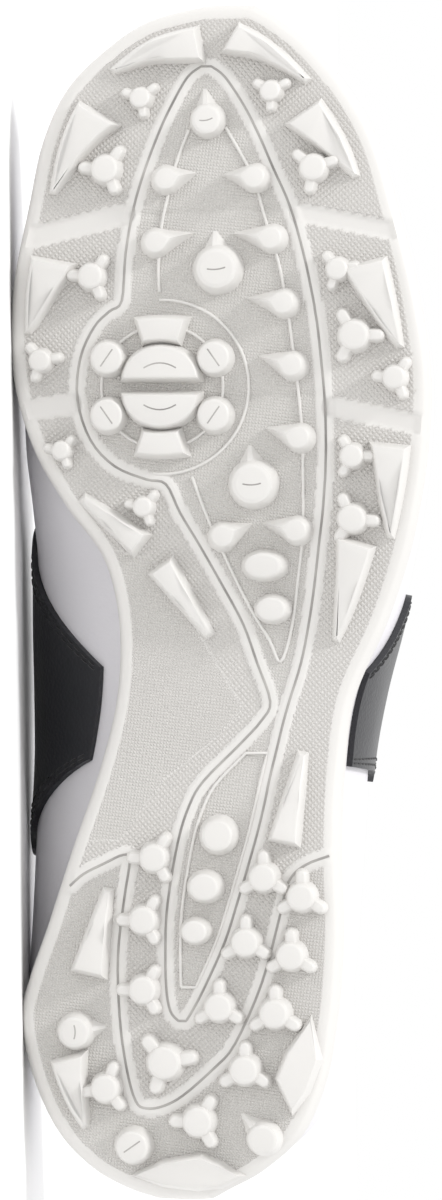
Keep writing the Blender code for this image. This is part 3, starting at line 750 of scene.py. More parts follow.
def woven_cloth(name, base, pitch_mm, depth):
    """Plain-woven cloth: threads over and under at a real spacing, matt with a little sheen."""
    material, tree, shader = new_material(name, base, 0.85)
    shader.inputs["Sheen Weight"].default_value = 0.25
    place_at = add_node(tree, "ShaderNodeTexCoord").outputs["Object"]
    parts = add_node(tree, "ShaderNodeSeparateXYZ", i0=place_at).outputs
    turns = 2 * pi / (pitch_mm * 0.001)
    first = maths(tree, "SINE", maths(tree, "MULTIPLY", maths(tree, "ADD", parts[0], parts[2]), turns))
    second = maths(tree, "SINE", maths(tree, "MULTIPLY", maths(tree, "SUBTRACT", parts[1], parts[2]), turns))
    weave = maths(tree, "MULTIPLY", first, second)
    bump = add_node(tree, "ShaderNodeBump", {"Distance": depth, "Strength": 0.7}, Height=weave)
    tree.links.new(bump.outputs[0], shader.inputs["Normal"])
    return material


def material_of(key):
    """Each material is made once and shared by its pieces."""
    if key in bpy.data.materials:
        return bpy.data.materials[key]
    settings = bpy.context.scene.turf_shoe
    makers = {
        "white_moulded_rubber": lambda: moulded_rubber(settings),
        "grey_painted_groove_shadow": lambda: painted_groove_shadow(),
        "white_coated_leather": lambda: smooth_leather(key, "leather_white", 0.42, 0.25, 0.15),
        "dark_coated_leather": lambda: smooth_leather(key, "leather_dark", 0.38, 0.35, 0.2),
        "dark_polyester_thread": lambda: woven_cloth(key, "thread_dark", 0.4, 0.0001),
        "grey_lining_cloth": lambda: woven_cloth(key, "lining_grey", 0.9, 0.0002),
        "white_tongue_cloth": lambda: woven_cloth(key, "leather_white", 0.8, 0.00015),
        "white_lace_braid": lambda: woven_cloth(key, "lace_white", 0.9, 0.0003),
    }
    return makers[key]()


LYING = lying_matrix()


def finish_piece(bm, name, material, node, angle=40):
    """Lay a piece down with the shoe, hang it on the root body and hide the model part that it stands for."""
    bm.transform(LYING)
    mesh = bpy.data.meshes.new(name)
    bm.to_mesh(mesh)
    bm.free()
    piece = bpy.data.objects.new(name, mesh)
    bpy.context.scene.collection.objects.link(piece)
    mesh.materials.append(material_of(material))
    mesh.shade_smooth()
    mesh.set_sharp_from_angle(angle=radians(angle))
    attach(piece, "root")
    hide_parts(node)
    return piece


def distance_to(points, line):
    """Distance of each plan point to a line of plan points."""
    best = np.full(len(points), 1.0)
    for start, end in zip(line[:-1], line[1:]):
        run = end - start
        t = np.clip(((points - start) @ run) / max(run @ run, 1e-12), 0, 1)
        gap = points - (start + t[:, None] * run)
        best = np.minimum(best, np.hypot(gap[:, 0], gap[:, 1]))
    return best


def inside_of(points, loop):
    """Which plan points lie inside a closed loop."""
    hit = np.zeros(len(points), bool)
    for start, end in zip(loop, np.roll(loop, -1, axis=0)):
        crosses = (start[1] > points[:, 1]) != (end[1] > points[:, 1])
        span = end[1] - start[1]
        at = start[0] + (points[:, 1] - start[1]) * (end[0] - start[0]) / (span if span else 1e-12)
        hit ^= crosses & (points[:, 0] < at)
    return hit


def smooth_line(rows, steps):
    """Plan points, in metres, on a smooth curve through rows of along and across."""
    count = (len(rows) - 1) * steps
    values = [row_at(rows, i / steps) for i in range(count + 1)]
    return np.array([(along * LENGTH, across * BALL_WIDTH) for along, across in values])


def island_loop(steps, medial_inset=0.0, lateral_inset=0.0, low=0.0, high=1.0):
    rows = [row_at(ISLAND, i / steps) for i in range((len(ISLAND) - 1) * steps + 1)]
    rows = [row for row in rows if low <= row[0] <= high]
    medial = [(row[0] * LENGTH, row[1] * BALL_WIDTH + medial_inset) for row in rows]
    lateral = [(row[0] * LENGTH, row[2] * BALL_WIDTH - lateral_inset) for row in rows]
    return np.array(medial + lateral[::-1])


def ramp(values, low, high):
    share = np.clip((values - low) / (high - low), 0, 1)
    return share * share * (3 - 2 * share)


def closed(loop):
    return np.vstack([loop, loop[:1]])


def pad_rings():
    """Rings of the turning pad: most of an outer ring, and an inner one."""
    centre = place(PAD_ALONG, PAD_ACROSS)
    rings = []
    for radius, low, high in ((0.0209, -2, 186), (0.0147, -150, 210)):
        turns = [radians(low + (high - low) * i / 60) for i in range(61)]
        rings.append(np.array([(centre.x + radius * cos(turn), centre.y + radius * sin(turn))
                               for turn in turns]))
    return rings


def rib_paths():
    paths = [smooth_line(rows, 4) for rows in RIBS] + pad_rings()
    paths.append(closed(island_loop(4, 0.0036, 0.0021, 0.178, 0.377)))
    return paths


def sole_relief(plan, settings):
    """Relief in metres, raised positive, and the knurl and weave masks for plan points."""
    loop = island_loop(4)
    heel_line = smooth_line(HEEL_GROOVE, 4)
    gap = np.minimum(distance_to(plan, closed(loop)), distance_to(plan, heel_line))
    strip = settings.bead_width
    relief = settings.bead_height * (1 - ramp(gap, strip * 0.75, strip * 1.35))
    smooth = gap < strip * 1.2
    for along, across, end_along, end_across, breadth in BANDS:
        ends = np.array([(along * LENGTH, across * BALL_WIDTH),
                         (end_along * LENGTH, end_across * BALL_WIDTH)])
        away = distance_to(plan, ends)
        relief -= settings.band_depth * (1 - ramp(away, breadth * 0.8, breadth * 1.1))
        smooth |= away < breadth * 1.05
    for along, across, end_along, end_across, breadth in CREASES:
        ends = np.array([(along * LENGTH, across * BALL_WIDTH),
                         (end_along * LENGTH, end_across * BALL_WIDTH)])
        relief -= settings.band_depth * 0.5 * (1 - ramp(distance_to(plan, ends), 0, breadth))
    there = [edge(i / 4, -1)[:2] for i in range(LAST_ROW * 4 + 1)]
    back = [edge(i / 4, 1)[:2] for i in range(LAST_ROW * 4, -1, -1)]
    border = distance_to(plan, closed(np.array(there + back)))
    smooth |= border < 0.0036
    island = inside_of(plan, loop)
    tail = np.array([(0.293 * LENGTH, 0.6 * BALL_WIDTH), (-0.1, 0.6 * BALL_WIDTH),
                     (-0.1, -0.6 * BALL_WIDTH), (0.247 * LENGTH, -0.6 * BALL_WIDTH)])
    heel_plate = inside_of(plan, np.vstack([heel_line, tail]))
    arch = inside_of(plan, np.array([(along * LENGTH, across * BALL_WIDTH) for along, across in ARCH]))
    weave = (island | heel_plate | arch) & ~smooth
    knurl = ~(island | heel_plate | arch) & ~smooth
    return relief, knurl.astype(np.float32), weave.astype(np.float32)


def even_rows(count):
    """Row numbers of the sole spaced evenly along its edge."""
    fine = [i / 20 for i in range(LAST_ROW * 20 + 1)]
    points = [(edge(row, 1) + edge(row, -1)) / 2 + Vector((0, (edge(row, 1) - edge(row, -1)).length / 3, 0))
              for row in fine]
    lengths = [0.0]
    for a, b in zip(points, points[1:]):
        lengths.append(lengths[-1] + (b - a).length)
    targets = np.linspace(0, lengths[-1], count)
    return list(np.interp(targets, lengths, fine))


def build_plate(settings, name="outsole_plate"):
    """Underside, side wall and top of the sole, shaped from one fine grid."""
    bm = bmesh.new()
    knurl_layer = bm.verts.layers.float.new("knurl")
    weave_layer = bm.verts.layers.float.new("weave")
    plan_layer = bm.loops.layers.uv.new("plan")
    count_x, count_y = 480, 156
    bmesh.ops.create_grid(bm, x_segments=count_x, y_segments=count_y, size=1)
    rows = even_rows(count_x + 1)
    low = np.array([edge(row, -1) + inward(row, -1) * EDGE_ROLL for row in rows])
    high = np.array([edge(row, 1) + inward(row, 1) * EDGE_ROLL for row in rows])
    verts = list(bm.verts)
    spots = np.array([(vert.co.x, vert.co.y) for vert in verts])
    i = np.rint((spots[:, 0] + 1) / 2 * count_x).astype(int)
    t = (spots[:, 1] + 1) / 2
    plan = low[i] * (1 - t[:, None]) + high[i] * t[:, None]
    plan = plan[:, :2]
    relief, knurl, weave = sole_relief(plan, settings)
    for k, vert in enumerate(verts):
        x, y = plan[k]
        vert.co = (x, y, plate_z(x) - relief[k])
        vert[knurl_layer] = knurl[k]
        vert[weave_layer] = weave[k]
    outward = {}
    for k, vert in enumerate(verts):
        if vert.is_boundary:
            row = rows[i[k]]
            way = -(inward(row, -1) * (1 - t[k]) + inward(row, 1) * t[k])
            outward[vert] = way.normalized()
    rim = [edge_ for edge_ in bm.edges if edge_.is_boundary]
    start = {vert: (vert.co.copy(), way) for vert, way in outward.items()}
    wall = [(0.0018, 0.0002, 0), (0.0010, 0.0010, 0), (0.0003, 0.0024, 0), (0.0, 0.0048, 0),
            (0.0, 0.6, 1), (0.0004, 0.9, 1), (0.0011, 1.0, 1), (0.0024, 1.01, 1), (0.0080, 1.0, 1)]
    for inset, lift, share_of_wall in wall:
        made = bmesh.ops.extrude_edge_only(bm, edges=rim)["geom"]
        fresh = [item for item in made if isinstance(item, bmesh.types.BMVert)]
        rim = [item for item in made if isinstance(item, bmesh.types.BMEdge)
               and item.verts[0] in fresh and item.verts[1] in fresh]
        keyed = {tuple(round(c, 7) for c in vert.co): vert for vert in start}
        following = {}
        for vert in fresh:
            origin = keyed[tuple(round(c, 7) for c in vert.co)]
            base, way = start[origin]
            spot = base + way * (EDGE_ROLL - inset)
            bottom = plate_z(spot.x)
            spot.z = bottom + ((rim_z(spot.x) - bottom) * lift if share_of_wall else lift)
            vert.co = spot
            vert[knurl_layer] = 0
            vert[weave_layer] = 0
            following[vert] = (base, way)
        start = following
    bmesh.ops.holes_fill(bm, edges=rim)
    for face in bm.faces:
        for loop in face.loops:
            loop[plan_layer].uv = (loop.vert.co.x * 1000, loop.vert.co.y * 1000)
    bmesh.ops.recalc_face_normals(bm, faces=bm.faces)
    plate = finish_piece(bm, name, "white_moulded_rubber", "outsole", 50)
    return plate


def widen(points, amount):
    """Outline moved outwards by an amount, corners mitred."""
    count = len(points)
    area = sum(points[i - 1].cross(points[i]).z for i in range(count))
    turn = 1 if area > 0 else -1
    moved = []
    for i, point in enumerate(points):
        before = (point - points[i - 1]).normalized()
        after = (points[(i + 1) % count] - point).normalized()
        square = Vector((before.y, -before.x, 0)) * turn
        out = (square + Vector((after.y, -after.x, 0)) * turn).normalized()
        moved.append(point + out * amount / max(out.dot(square), 0.6))
    return moved


def add_form(bm, rings, bevel):
    """Closed stud: the outline of its tip, then wider outlines down into the plate."""
    verts = [bm.verts.new(point) for point in rings[0]]
    tip = bm.faces.new(verts)
    rim = list(tip.edges)
    tip_edges = list(tip.edges)
    for ring in rings[1:]:
        order = {tuple(vert.co): i for i, vert in enumerate(verts)}
        made = bmesh.ops.extrude_edge_only(bm, edges=rim)["geom"]
        fresh = {item for item in made if isinstance(item, bmesh.types.BMVert)}
        rim = [item for item in made if isinstance(item, bmesh.types.BMEdge)
               and item.verts[0] in fresh and item.verts[1] in fresh]
        following = [None] * len(ring)
        for vert in fresh:
            following[order[tuple(vert.co)]] = vert
        for vert, point in zip(following, ring):
            vert.co = point
        verts = following
    bmesh.ops.holes_fill(bm, edges=rim)
    bmesh.ops.bevel(bm, geom=tip_edges, offset=bevel, affect="EDGES", segments=2, profile=0.5,
                    material=-1)


def lowered(points, height, shares=None):
    """Outline set down from the plate by a height, or by a share of it at each point."""
    shares = shares or [1.0] * len(points)
    return [Vector((point.x, point.y, plate_z(point.x) - height * share))
            for point, share in zip(points, shares)]


def add_stud(bm, points, height, bevel, shares=None, tip=0.0004, flare=0.0010):
    """Stud with sloping flanks and a softened shoulder. shares: height of each corner."""
    rings = [lowered(widen(points, -tip), height, shares),
             lowered(widen(points, 0), height * 0.84, shares),
             lowered(widen(points, flare * 0.6), height * 0.35, shares),
             lowered(widen(points, flare), -LUG_ROOT)]
    add_form(bm, rings, bevel)


def add_round(bm, centre, half_x, half_y, height, bevel, face=0.72, root=1.18, sides=28):
    """Round or oval stud: a flat face, a broad rounded shoulder and sloping flanks."""
    levels = ((face, 1.0), (mix(face, 0.95, 0.62), 0.93), (0.95, 0.76), (mix(0.95, root, 0.5), 0.4))
    rings = [lowered(oval(centre, half_x * size, half_y * size, sides), height * level)
             for size, level in levels]
    rings.append(lowered(oval(centre, half_x * root, half_y * root, sides), -LUG_ROOT))
    add_form(bm, rings, bevel)


def add_tail(bm, centre, radius, tail, height, bevel):
    """Ridge that runs down from a round stud to its tail's tip."""
    way = (tail - centre).normalized()
    wide = Vector((-way.y, way.x, 0))
    crest = centre + way * radius * 0.55
    foot = centre + way * radius * 0.35
    tip = [crest + wide * radius * 0.16, foot + wide * radius * 0.3, foot - wide * radius * 0.3,
           crest - wide * radius * 0.16]
    root = [tail + wide * 0.0003, foot + wide * radius * 1.0, foot - wide * radius * 1.0,
            tail - wide * 0.0003]
    add_form(bm, [lowered(tip, height * 0.93), lowered(root, -LUG_ROOT * 0.6)], bevel)


def add_leaf(bm, centre, radius, tip, height, bevel):
    """Short stud with a small flat face at its round end, falling away to its tip."""
    way = (tip - centre).normalized()
    lean = atan2(way.y, way.x)
    touch = 0.30 * pi
    turns = [lean + touch + (2 * pi - 2 * touch) * i / 22 for i in range(23)]
    root = [tip + way * 0.0004]
    face = [centre + way * radius * 1.15]
    for turn in turns:
        out = Vector((cos(turn), sin(turn), 0))
        root.append(centre + out * radius * 1.32)
        face.append(centre + way * radius * 0.12 + out * radius * 0.80)
    middle = [foot.lerp(top, 0.52) for foot, top in zip(root, face)]
    shoulder = [foot.lerp(top, 0.85) for foot, top in zip(root, face)]
    rings = [lowered(face, height), lowered(shoulder, height * 0.92), lowered(middle, height * 0.66),
             lowered(root, -LUG_ROOT)]
    add_form(bm, rings, bevel)


def add_fin(bm, centre, out, near, far, width, height, bevel):
    """Low fin with a round end that leans on a round stud."""
    wide = Vector((-out.y, out.x, 0)) * width / 2
    points = [centre + out * near - wide]
    for i in range(7):
        turn = pi * (i / 6 - 0.5)
        points.append(centre + out * (far - width / 2 + cos(turn) * width / 2) + wide * sin(turn))
    points.append(centre + out * near + wide)
    add_stud(bm, points, height, bevel, tip=0.0003, flare=0.0006)


def blade_points(side, broad, point, inset, breadth):
    """Outline of a blade along the sole's edge and the height of each corner."""
    rows = [mix(sole_row(broad), sole_row(point), i / 8) for i in range(9)]
    outer = [edge(row, side) + inward(row, side) * inset for row in rows]
    inner = [foot + inward(row, side) * (breadth * (1 - i / 8) ** 0.8 + BLADE_POINT)
             for i, (foot, row) in enumerate(zip(outer, rows))]
    fall = [blade_fall(i / 8) for i in range(9)]
    return outer + inner[::-1], fall + fall[::-1]


def blade_fall(share):
    """Height along a blade: full at the broad end, a small step, then down to the point."""
    return 1 - 0.10 * ease((share - 0.52) / 0.05) - 0.50 * ease((share - 0.57) / 0.43)


def inner_blade_points(start, breadth, end, end_breadth):
    way = (end - start).normalized()
    wide = Vector((-way.y, way.x, 0)) / 2
    broad_first = breadth > end_breadth
    shares = [i / 8 for i in range(9)]
    falls = [blade_fall(share if broad_first else 1 - share) for share in shares]
    upper = [start.lerp(end, share) + wide * mix(breadth, end_breadth, share) for share in shares]
    lower = [start.lerp(end, share) - wide * mix(breadth, end_breadth, share) for share in shares]
    return upper + lower[::-1], falls + falls[::-1]


def slit_rows():
    """Centre, turn, length and bend of each slit."""
    rows = []
    for number, (along, across, size, _, _) in enumerate(TEARDROPS[:4]):
        rows.append((place(along, across), radians(SLIT_TURNS[number]), size * STUD_RADIUS * 0.8, 0.0003))
    rows.append((place(*ROUNDS[5][:2]), radians(SLIT_TURNS[5]), STUD_RADIUS * 1.2, 0.0))
    centre = place(PAD_ALONG, PAD_ACROSS)
    for way in (-1, 1):
        moon = centre + Vector((way * PAD_MOON_DEPTH * 0.55, 0, 0))
        rows.append((moon, pi / 2, PAD_MOON_HALF * 0.85, -way * 0.0012))
        for side in (-1, 1):
            out = Vector((way * cos(PAD_ROUND_TURN), side * sin(PAD_ROUND_TURN), 0))
            turn = radians(-35 * side * way)
            rows.append((centre + out * PAD_ROUND_REACH, turn, PAD_ROUND_RADIUS * 1.2, 0.0))
    return rows


def build_studs(settings):
    bm = bmesh.new()
    bevel = settings.stud_bevel
    for along, across, size, turn in CLUSTERS:
        centre = place(along, across)
        radius = CLUSTER_RADIUS * size
        add_round(bm, centre, radius, radius, LUG_HEIGHT, bevel)
        for i in range(3):
            angle = radians(turn + 120 * i)
            out = Vector((cos(angle), sin(angle), 0))
            add_fin(bm, centre, out, radius * 0.6, radius * 1.8, radius * 0.68, SATELLITE_HEIGHT * 1.12,
                    bevel)
    for along, across, tip_along, tip_across in LEAVES:
        add_leaf(bm, place(along, across), LEAF_RADIUS, place(tip_along, tip_across), LUG_HEIGHT * 0.9,
                 bevel)
    for along, across, half_x, half_y in ROUNDS[:-2]:
        add_round(bm, place(along, across), half_x * STUD_RADIUS, half_y * STUD_RADIUS, LUG_HEIGHT,
                  bevel, 0.74, 1.22)
    for side, broad, point, inset, breadth in EDGE_BLADES:
        points, falls = blade_points(side, broad, point, inset * STUD_RADIUS, breadth * STUD_RADIUS)
        add_stud(bm, points, BLADE_HEIGHT, bevel, falls)
    for along, across, breadth, end_along, end_across, end_breadth in INNER_BLADES[:4]:
        points, falls = inner_blade_points(place(along, across), breadth * STUD_RADIUS,
                                           place(end_along, end_across), end_breadth * STUD_RADIUS)
        add_stud(bm, points, BLADE_HEIGHT, bevel, falls)
    for corners in (HEEL_CHEVRON, HEEL_KITE):
        points = [place(along, across) for along, across, _ in corners]
        add_stud(bm, points, BLADE_HEIGHT, bevel, [share for _, _, share in corners])
    bm.loops.layers.uv.new("plan")
    bmesh.ops.recalc_face_normals(bm, faces=bm.faces)
    finish_piece(bm, "outsole_studs", "white_moulded_rubber", "outsole", 32)


def build_pad_studs(settings):
    """Turning pad under the ball of the foot, and the round studs with a tail."""
    bm = bmesh.new()
    bevel = settings.stud_bevel
    for along, across, size, tail_along, tail_across in TEARDROPS:
        centre = place(along, across)
        radius = size * STUD_RADIUS
        add_round(bm, centre, radius, radius, LUG_HEIGHT, bevel, 0.70, 1.16)
        add_tail(bm, centre, radius, place(tail_along, tail_across), LUG_HEIGHT, bevel)
    along, across, half_x, half_y = ROUNDS[5]
    add_round(bm, place(along, across), half_x * STUD_RADIUS, half_y * STUD_RADIUS, LUG_HEIGHT, bevel,
              0.78, 1.2)
    centre = place(PAD_ALONG, PAD_ACROSS)
    for way in (-1, 1):
        moon = [centre + Vector((way * (PAD_MOON_GAP + PAD_MOON_DEPTH * sin(pi * i / 24)),
                                 PAD_MOON_HALF * cos(pi * i / 24), 0)) for i in range(25)]
        add_stud(bm, moon, LUG_HEIGHT, bevel)
        key = []
        for reach, half, count in ((PAD_KEY_FROM, PAD_KEY_NEAR, 6), (PAD_KEY_TO, PAD_KEY_FAR, 8)):
            arc = [-half + 2 * half * i / count for i in range(count + 1)]
            rise = [(reach ** 2 - y ** 2) ** 0.5 * 0.45 + reach * 0.55 for y in arc]
            points = [centre + Vector((way * x, y, 0)) for x, y in zip(rise, arc)]
            key += points if not key else points[::-1]
        add_stud(bm, key, BLADE_HEIGHT, bevel)
        for side in (-1, 1):
            out = Vector((way * cos(PAD_ROUND_TURN), side * sin(PAD_ROUND_TURN), 0))
            middle = centre + out * PAD_ROUND_REACH
            add_round(bm, middle, PAD_ROUND_RADIUS, PAD_ROUND_RADIUS, LUG_HEIGHT, bevel, 0.80, 1.16)
    bm.loops.layers.uv.new("plan")
    bmesh.ops.recalc_face_normals(bm, faces=bm.faces)
    finish_piece(bm, "outsole_pad_studs", "white_moulded_rubber", "outsole", 32)


def build_ribs(settings):
    """Thin half-round ribs that lie on the plate."""
    bm = bmesh.new()
    for path in rib_paths():
        points = [Vector((x, y, plate_z(x) - settings.rib_height * 0.3)) for x, y in path]
        normals = [Vector((0, 0, -1))] * len(points)
        strip_between(bm, points, normals, settings.rib_width, settings.rib_height * 1.6, 8)
    bm.loops.layers.uv.new("plan")
    bmesh.ops.recalc_face_normals(bm, faces=bm.faces)
    finish_piece(bm, "outsole_ribs", "white_moulded_rubber", "outsole", 50)


def build_lines(settings):
    """Painted shadow: thin dark strips on the two grooves and on the slits in the larger studs' faces,
    standing in for the shade down in them.
    """
    bm = bmesh.new()
    down = Vector((0, 0, -1))
    # The strips lie on the bead's face, partly sunk in it; the groove itself is not cut.
    level = settings.bead_height + settings.groove_depth * 0.02
    for path in (closed(island_loop(4)), smooth_line(HEEL_GROOVE, 4)):
        points = [Vector((x, y, plate_z(x) - level)) for x, y in path]
        strip_between(bm, points, [down] * len(points), settings.groove_width, 0.0002, 6)
    for centre, turn, length, bend in slit_rows():
        way = Vector((cos(turn), sin(turn), 0))
        wide = Vector((-way.y, way.x, 0))
        points = []
        for i in range(9):
            share = i / 4 - 1
            spot = centre + way * length / 2 * share + wide * bend * (1 - share * share)
            points.append(Vector((spot.x, spot.y, plate_z(spot.x) - LUG_HEIGHT)))
        strip_between(bm, points, [down] * len(points), SLIT_WIDTH, 0.0001, 6)
    bmesh.ops.recalc_face_normals(bm, faces=bm.faces)
    finish_piece(bm, "outsole_groove_shadow_lines", "grey_painted_groove_shadow", "outsole", 50)


def shell_grid(bm, rows, shares, point_at):
    """Grid laid on a surface by a function of row number and share."""
    count_x, count_y = len(rows) - 1, len(shares) - 1
    made = bmesh.ops.create_grid(bm, x_segments=count_x, y_segments=count_y, size=1)["verts"]
    for vert in made:
        i = round((vert.co.x + 1) / 2 * count_x)
        j = round((vert.co.y + 1) / 2 * count_y)
        vert.co = point_at(rows[i], shares[j])
    return made


def build_upper(settings):
    """White leather shell, made as one round strip from sole to collar, with its real wall."""
    steps = 8
    ribs = round_rows(steps)
    shares = wall_shares(14, 34)
    bm = bmesh.new()
    numbers = list(range(len(ribs) + 1))

    def outer(k, share):
        row, side = ribs[k % len(ribs)]
        point = upper_point(row, side, share)
        return point + upper_normal(row, side, share) * crease_at(point)

    made = shell_grid(bm, numbers, shares, outer)
    bmesh.ops.remove_doubles(bm, verts=made, dist=1e-6)
    bmesh.ops.recalc_face_normals(bm, faces=bm.faces)
    skin = bm.faces[:]
    bmesh.ops.solidify(bm, geom=skin, thickness=UPPER_WALL)
    bmesh.ops.recalc_face_normals(bm, faces=bm.faces)
    return finish_piece(bm, "upper_shell", "white_coated_leather", "upper", 50)


def crease_at(point):
    """Soft troughs across the vamp, where the forefoot bends."""
    depth = 0.0
    for along, lean, breadth, deep in ((0.715, 0.25, 0.0035, 0.0007), (0.745, -0.15, 0.0045, 0.0006),
                                       (0.775, 0.1, 0.005, 0.0004)):
        away = (point.x - along * LENGTH - lean * (point.y - 0.003)) / breadth
        if abs(away) < 3 and point.z > 0.03:
            depth -= deep * (1 - away * away * 0.6) * 2.718 ** (-away * away) * ease((point.z - 0.03) / 0.02)
    return depth


def build_panel(name, table, side, node):
    bm = bmesh.new()

    def outer(j, level):
        share, ahead, behind = row_at(table, level * (len(table) - 1))
        row = mix(ahead, behind, j / 60)
        return upper_point(row, side, share) + upper_normal(row, side, share) * (PANEL_GAP + PANEL_THICKNESS)

    shell_grid(bm, list(range(61)), [i / 50 for i in range(51)], outer)
    bmesh.ops.recalc_face_normals(bm, faces=bm.faces)
    outward = sum((face.normal.y * side for face in bm.faces), 0.0)
    if outward < 0:
        bmesh.ops.reverse_faces(bm, faces=bm.faces)
    bmesh.ops.solidify(bm, geom=bm.faces[:], thickness=PANEL_THICKNESS + 0.0006)
    return finish_piece(bm, name, "dark_coated_leather", node, 50)


def build_insole():
    bm = bmesh.new()
    inset = FEATHER_INSET + UPPER_WALL + 0.0016

    def top(row, share):
        low = edge(row, -1) + inward(row, -1) * inset
        high = edge(row, 1) + inward(row, 1) * inset
        point = low.lerp(high, share)
        cup = 0.0022 * (2 * share - 1) ** 4
        point.z = rim_z(point.x) + CLEARANCE + INSOLE_THICKNESS - 0.0014 + cup
        return point

    rows = [0.5 + i * (LAST_ROW - 1) / 120 for i in range(121)]
    shell_grid(bm, rows, [i / 40 for i in range(41)], top)
    bmesh.ops.recalc_face_normals(bm, faces=bm.faces)
    if sum(face.normal.z for face in bm.faces) < 0:
        bmesh.ops.reverse_faces(bm, faces=bm.faces)
    bmesh.ops.solidify(bm, geom=bm.faces[:], thickness=0.0018)
    return finish_piece(bm, "insole_footbed", "grey_lining_cloth", "insole", 50)


def build_tongue():
    bm = bmesh.new()

    def top(i, j):
        along = mix(TONGUE_FRONT, TONGUE_BACK, i / 60)
        widest = mix(TONGUE_FRONT_HALF, TONGUE_BACK_HALF, ease(i / 35))
        half = min(throat_at(along)[0] + TONGUE_UNDERLAP, widest)
        half -= TONGUE_NARROW * ease((i / 5 - 7) / 2)
        across = half * (j / 15 - 1)
        z = tongue_top(along, across) + 0.0005 * cos(across / half * pi / 2)
        return Vector((along * LENGTH, middle_y(along) + across, z))

    shell_grid(bm, list(range(61)), list(range(31)), top)
    bmesh.ops.recalc_face_normals(bm, faces=bm.faces)
    if sum(face.normal.z for face in bm.faces) < 0:
        bmesh.ops.reverse_faces(bm, faces=bm.faces)
    bmesh.ops.solidify(bm, geom=bm.faces[:], thickness=0.0028)
    return finish_piece(bm, "tongue_pad", "white_tongue_cloth", "tongue", 50)


def strip_between(bm, points, normals, width, thickness, sides=10):
    """Flat braid along a run of points, with rounded edges."""
    rings = []
    for k, point in enumerate(points):
        way = (points[min(k + 1, len(points) - 1)] - points[max(k - 1, 0)]).normalized()
        wide = way.cross(normals[k]).normalized()
        up = wide.cross(way).normalized()
        rings.append([point + wide * cos(2 * pi * i / sides) * width / 2
                      + up * sin(2 * pi * i / sides) * thickness / 2 for i in range(sides)])
    loft(bm, rings, True)


def loft(bm, rings, cap):
    loops = [[bm.verts.new(point) for point in ring] for ring in rings]
    edges = []
    for ring in loops:
        edges.append([bm.edges.new((ring[i], ring[(i + 1) % len(ring)])) for i in range(len(ring))])
    for low, high in zip(edges, edges[1:]):
        bmesh.ops.bridge_loops(bm, edges=low + high)
    if cap:
        bm.faces.new(loops[0])
        bm.faces.new(loops[-1])


def build_laces():
    bm = bmesh.new()
    runs = [(0, -1, 0, 1)]
    for pair in range(EYELET_PAIRS - 1):
        runs += [(pair, -1, pair + 1, 1), (pair, 1, pair + 1, -1)]
    for number, (pair, side, next_pair, next_side) in enumerate(runs):
        point_a, normal_a = eyelet(pair, side)
        point_b, normal_b = eyelet(next_pair, next_side)
        lift = LACE_THICKNESS / 2 + 0.0004
        start, end = point_a - normal_a * 0.0026, point_b - normal_b * 0.0026
        points, normals = [start], [normal_a]
        for k in range(1, 20):
            t = k / 20
            centre = (point_a + normal_a * lift).lerp(point_b + normal_b * lift, t)
            along = centre.x / LENGTH
            clear = tongue_top(along, centre.y - middle_y(along)) + lift
            over = 0.0009 if number % 2 else 0.0
            bow = centre.z + LACE_BOW * (4 * t * (1 - t)) ** 0.6
            centre.z = max(clear, bow) + over * (4 * t * (1 - t))
            points.append(centre)
            normals.append(normal_a.lerp(normal_b, t).normalized())
        points.append(end)
        normals.append(normal_b)
        strip_between(bm, points, normals, LACE_WIDTH, LACE_THICKNESS)
    bmesh.ops.recalc_face_normals(bm, faces=bm.faces)
    return finish_piece(bm, "lace_crossings", "white_lace_braid", "laces", 50)


def stitch_row(bm, points, normals, length, thickness):
    """Single stitches, one after another along a run of points."""
    lengths = [0.0]
    for a, b in zip(points, points[1:]):
        lengths.append(lengths[-1] + (b - a).length)
    count = int(lengths[-1] / (length * 1.25))
    for k in range(count):
        ends = []
        for share in (0.0, 0.8):
            target = (k + share) * length * 1.25
            i = max(min(int(np.searchsorted(lengths, target)) - 1, len(points) - 2), 0)
            t = (target - lengths[i]) / max(lengths[i + 1] - lengths[i], 1e-9)
            ends.append((points[i].lerp(points[i + 1], t), normals[i]))
        (a, normal), (b, _) = ends
        way = (b - a).normalized()
        wide = way.cross(normal).normalized() * thickness / 2
        up = normal * thickness / 2
        rings = []
        for share, size in ((0.0, 0.5), (0.25, 1.0), (0.75, 1.0), (1.0, 0.5)):
            middle = a.lerp(b, share)
            rings.append([middle + wide * size, middle + up * size, middle - wide * size, middle - up * size])
        loft(bm, rings, True)


def build_stitches(settings):
    bm = bmesh.new()
    for table, side in ((MEDIAL_PANEL, -1), (LATERAL_PANEL, 1)):
        for inset in (0.035, 0.075):
            for edge_share in (inset, 1 - inset):
                points, normals = [], []
                for k in range(81):
                    level = mix(0.02, 0.98, k / 80)
                    share, ahead, behind = row_at(table, level * (len(table) - 1))
                    row = mix(ahead, behind, edge_share)
                    normal = upper_normal(row, side, share)
                    points.append(upper_point(row, side, share) + normal * (PANEL_GAP + PANEL_THICKNESS))
                    normals.append(normal)
                stitch_row(bm, points, normals, settings.stitch_length, 0.0006)
    bmesh.ops.recalc_face_normals(bm, faces=bm.faces)
    return finish_piece(bm, "panel_stitches", "dark_polyester_thread", "medial_panel", 60)


def aim(item, target):
    """Turn a lamp towards a point."""
    way = target - item.location
    item.rotation_euler = way.to_track_quat("-Z", "Y").to_euler()


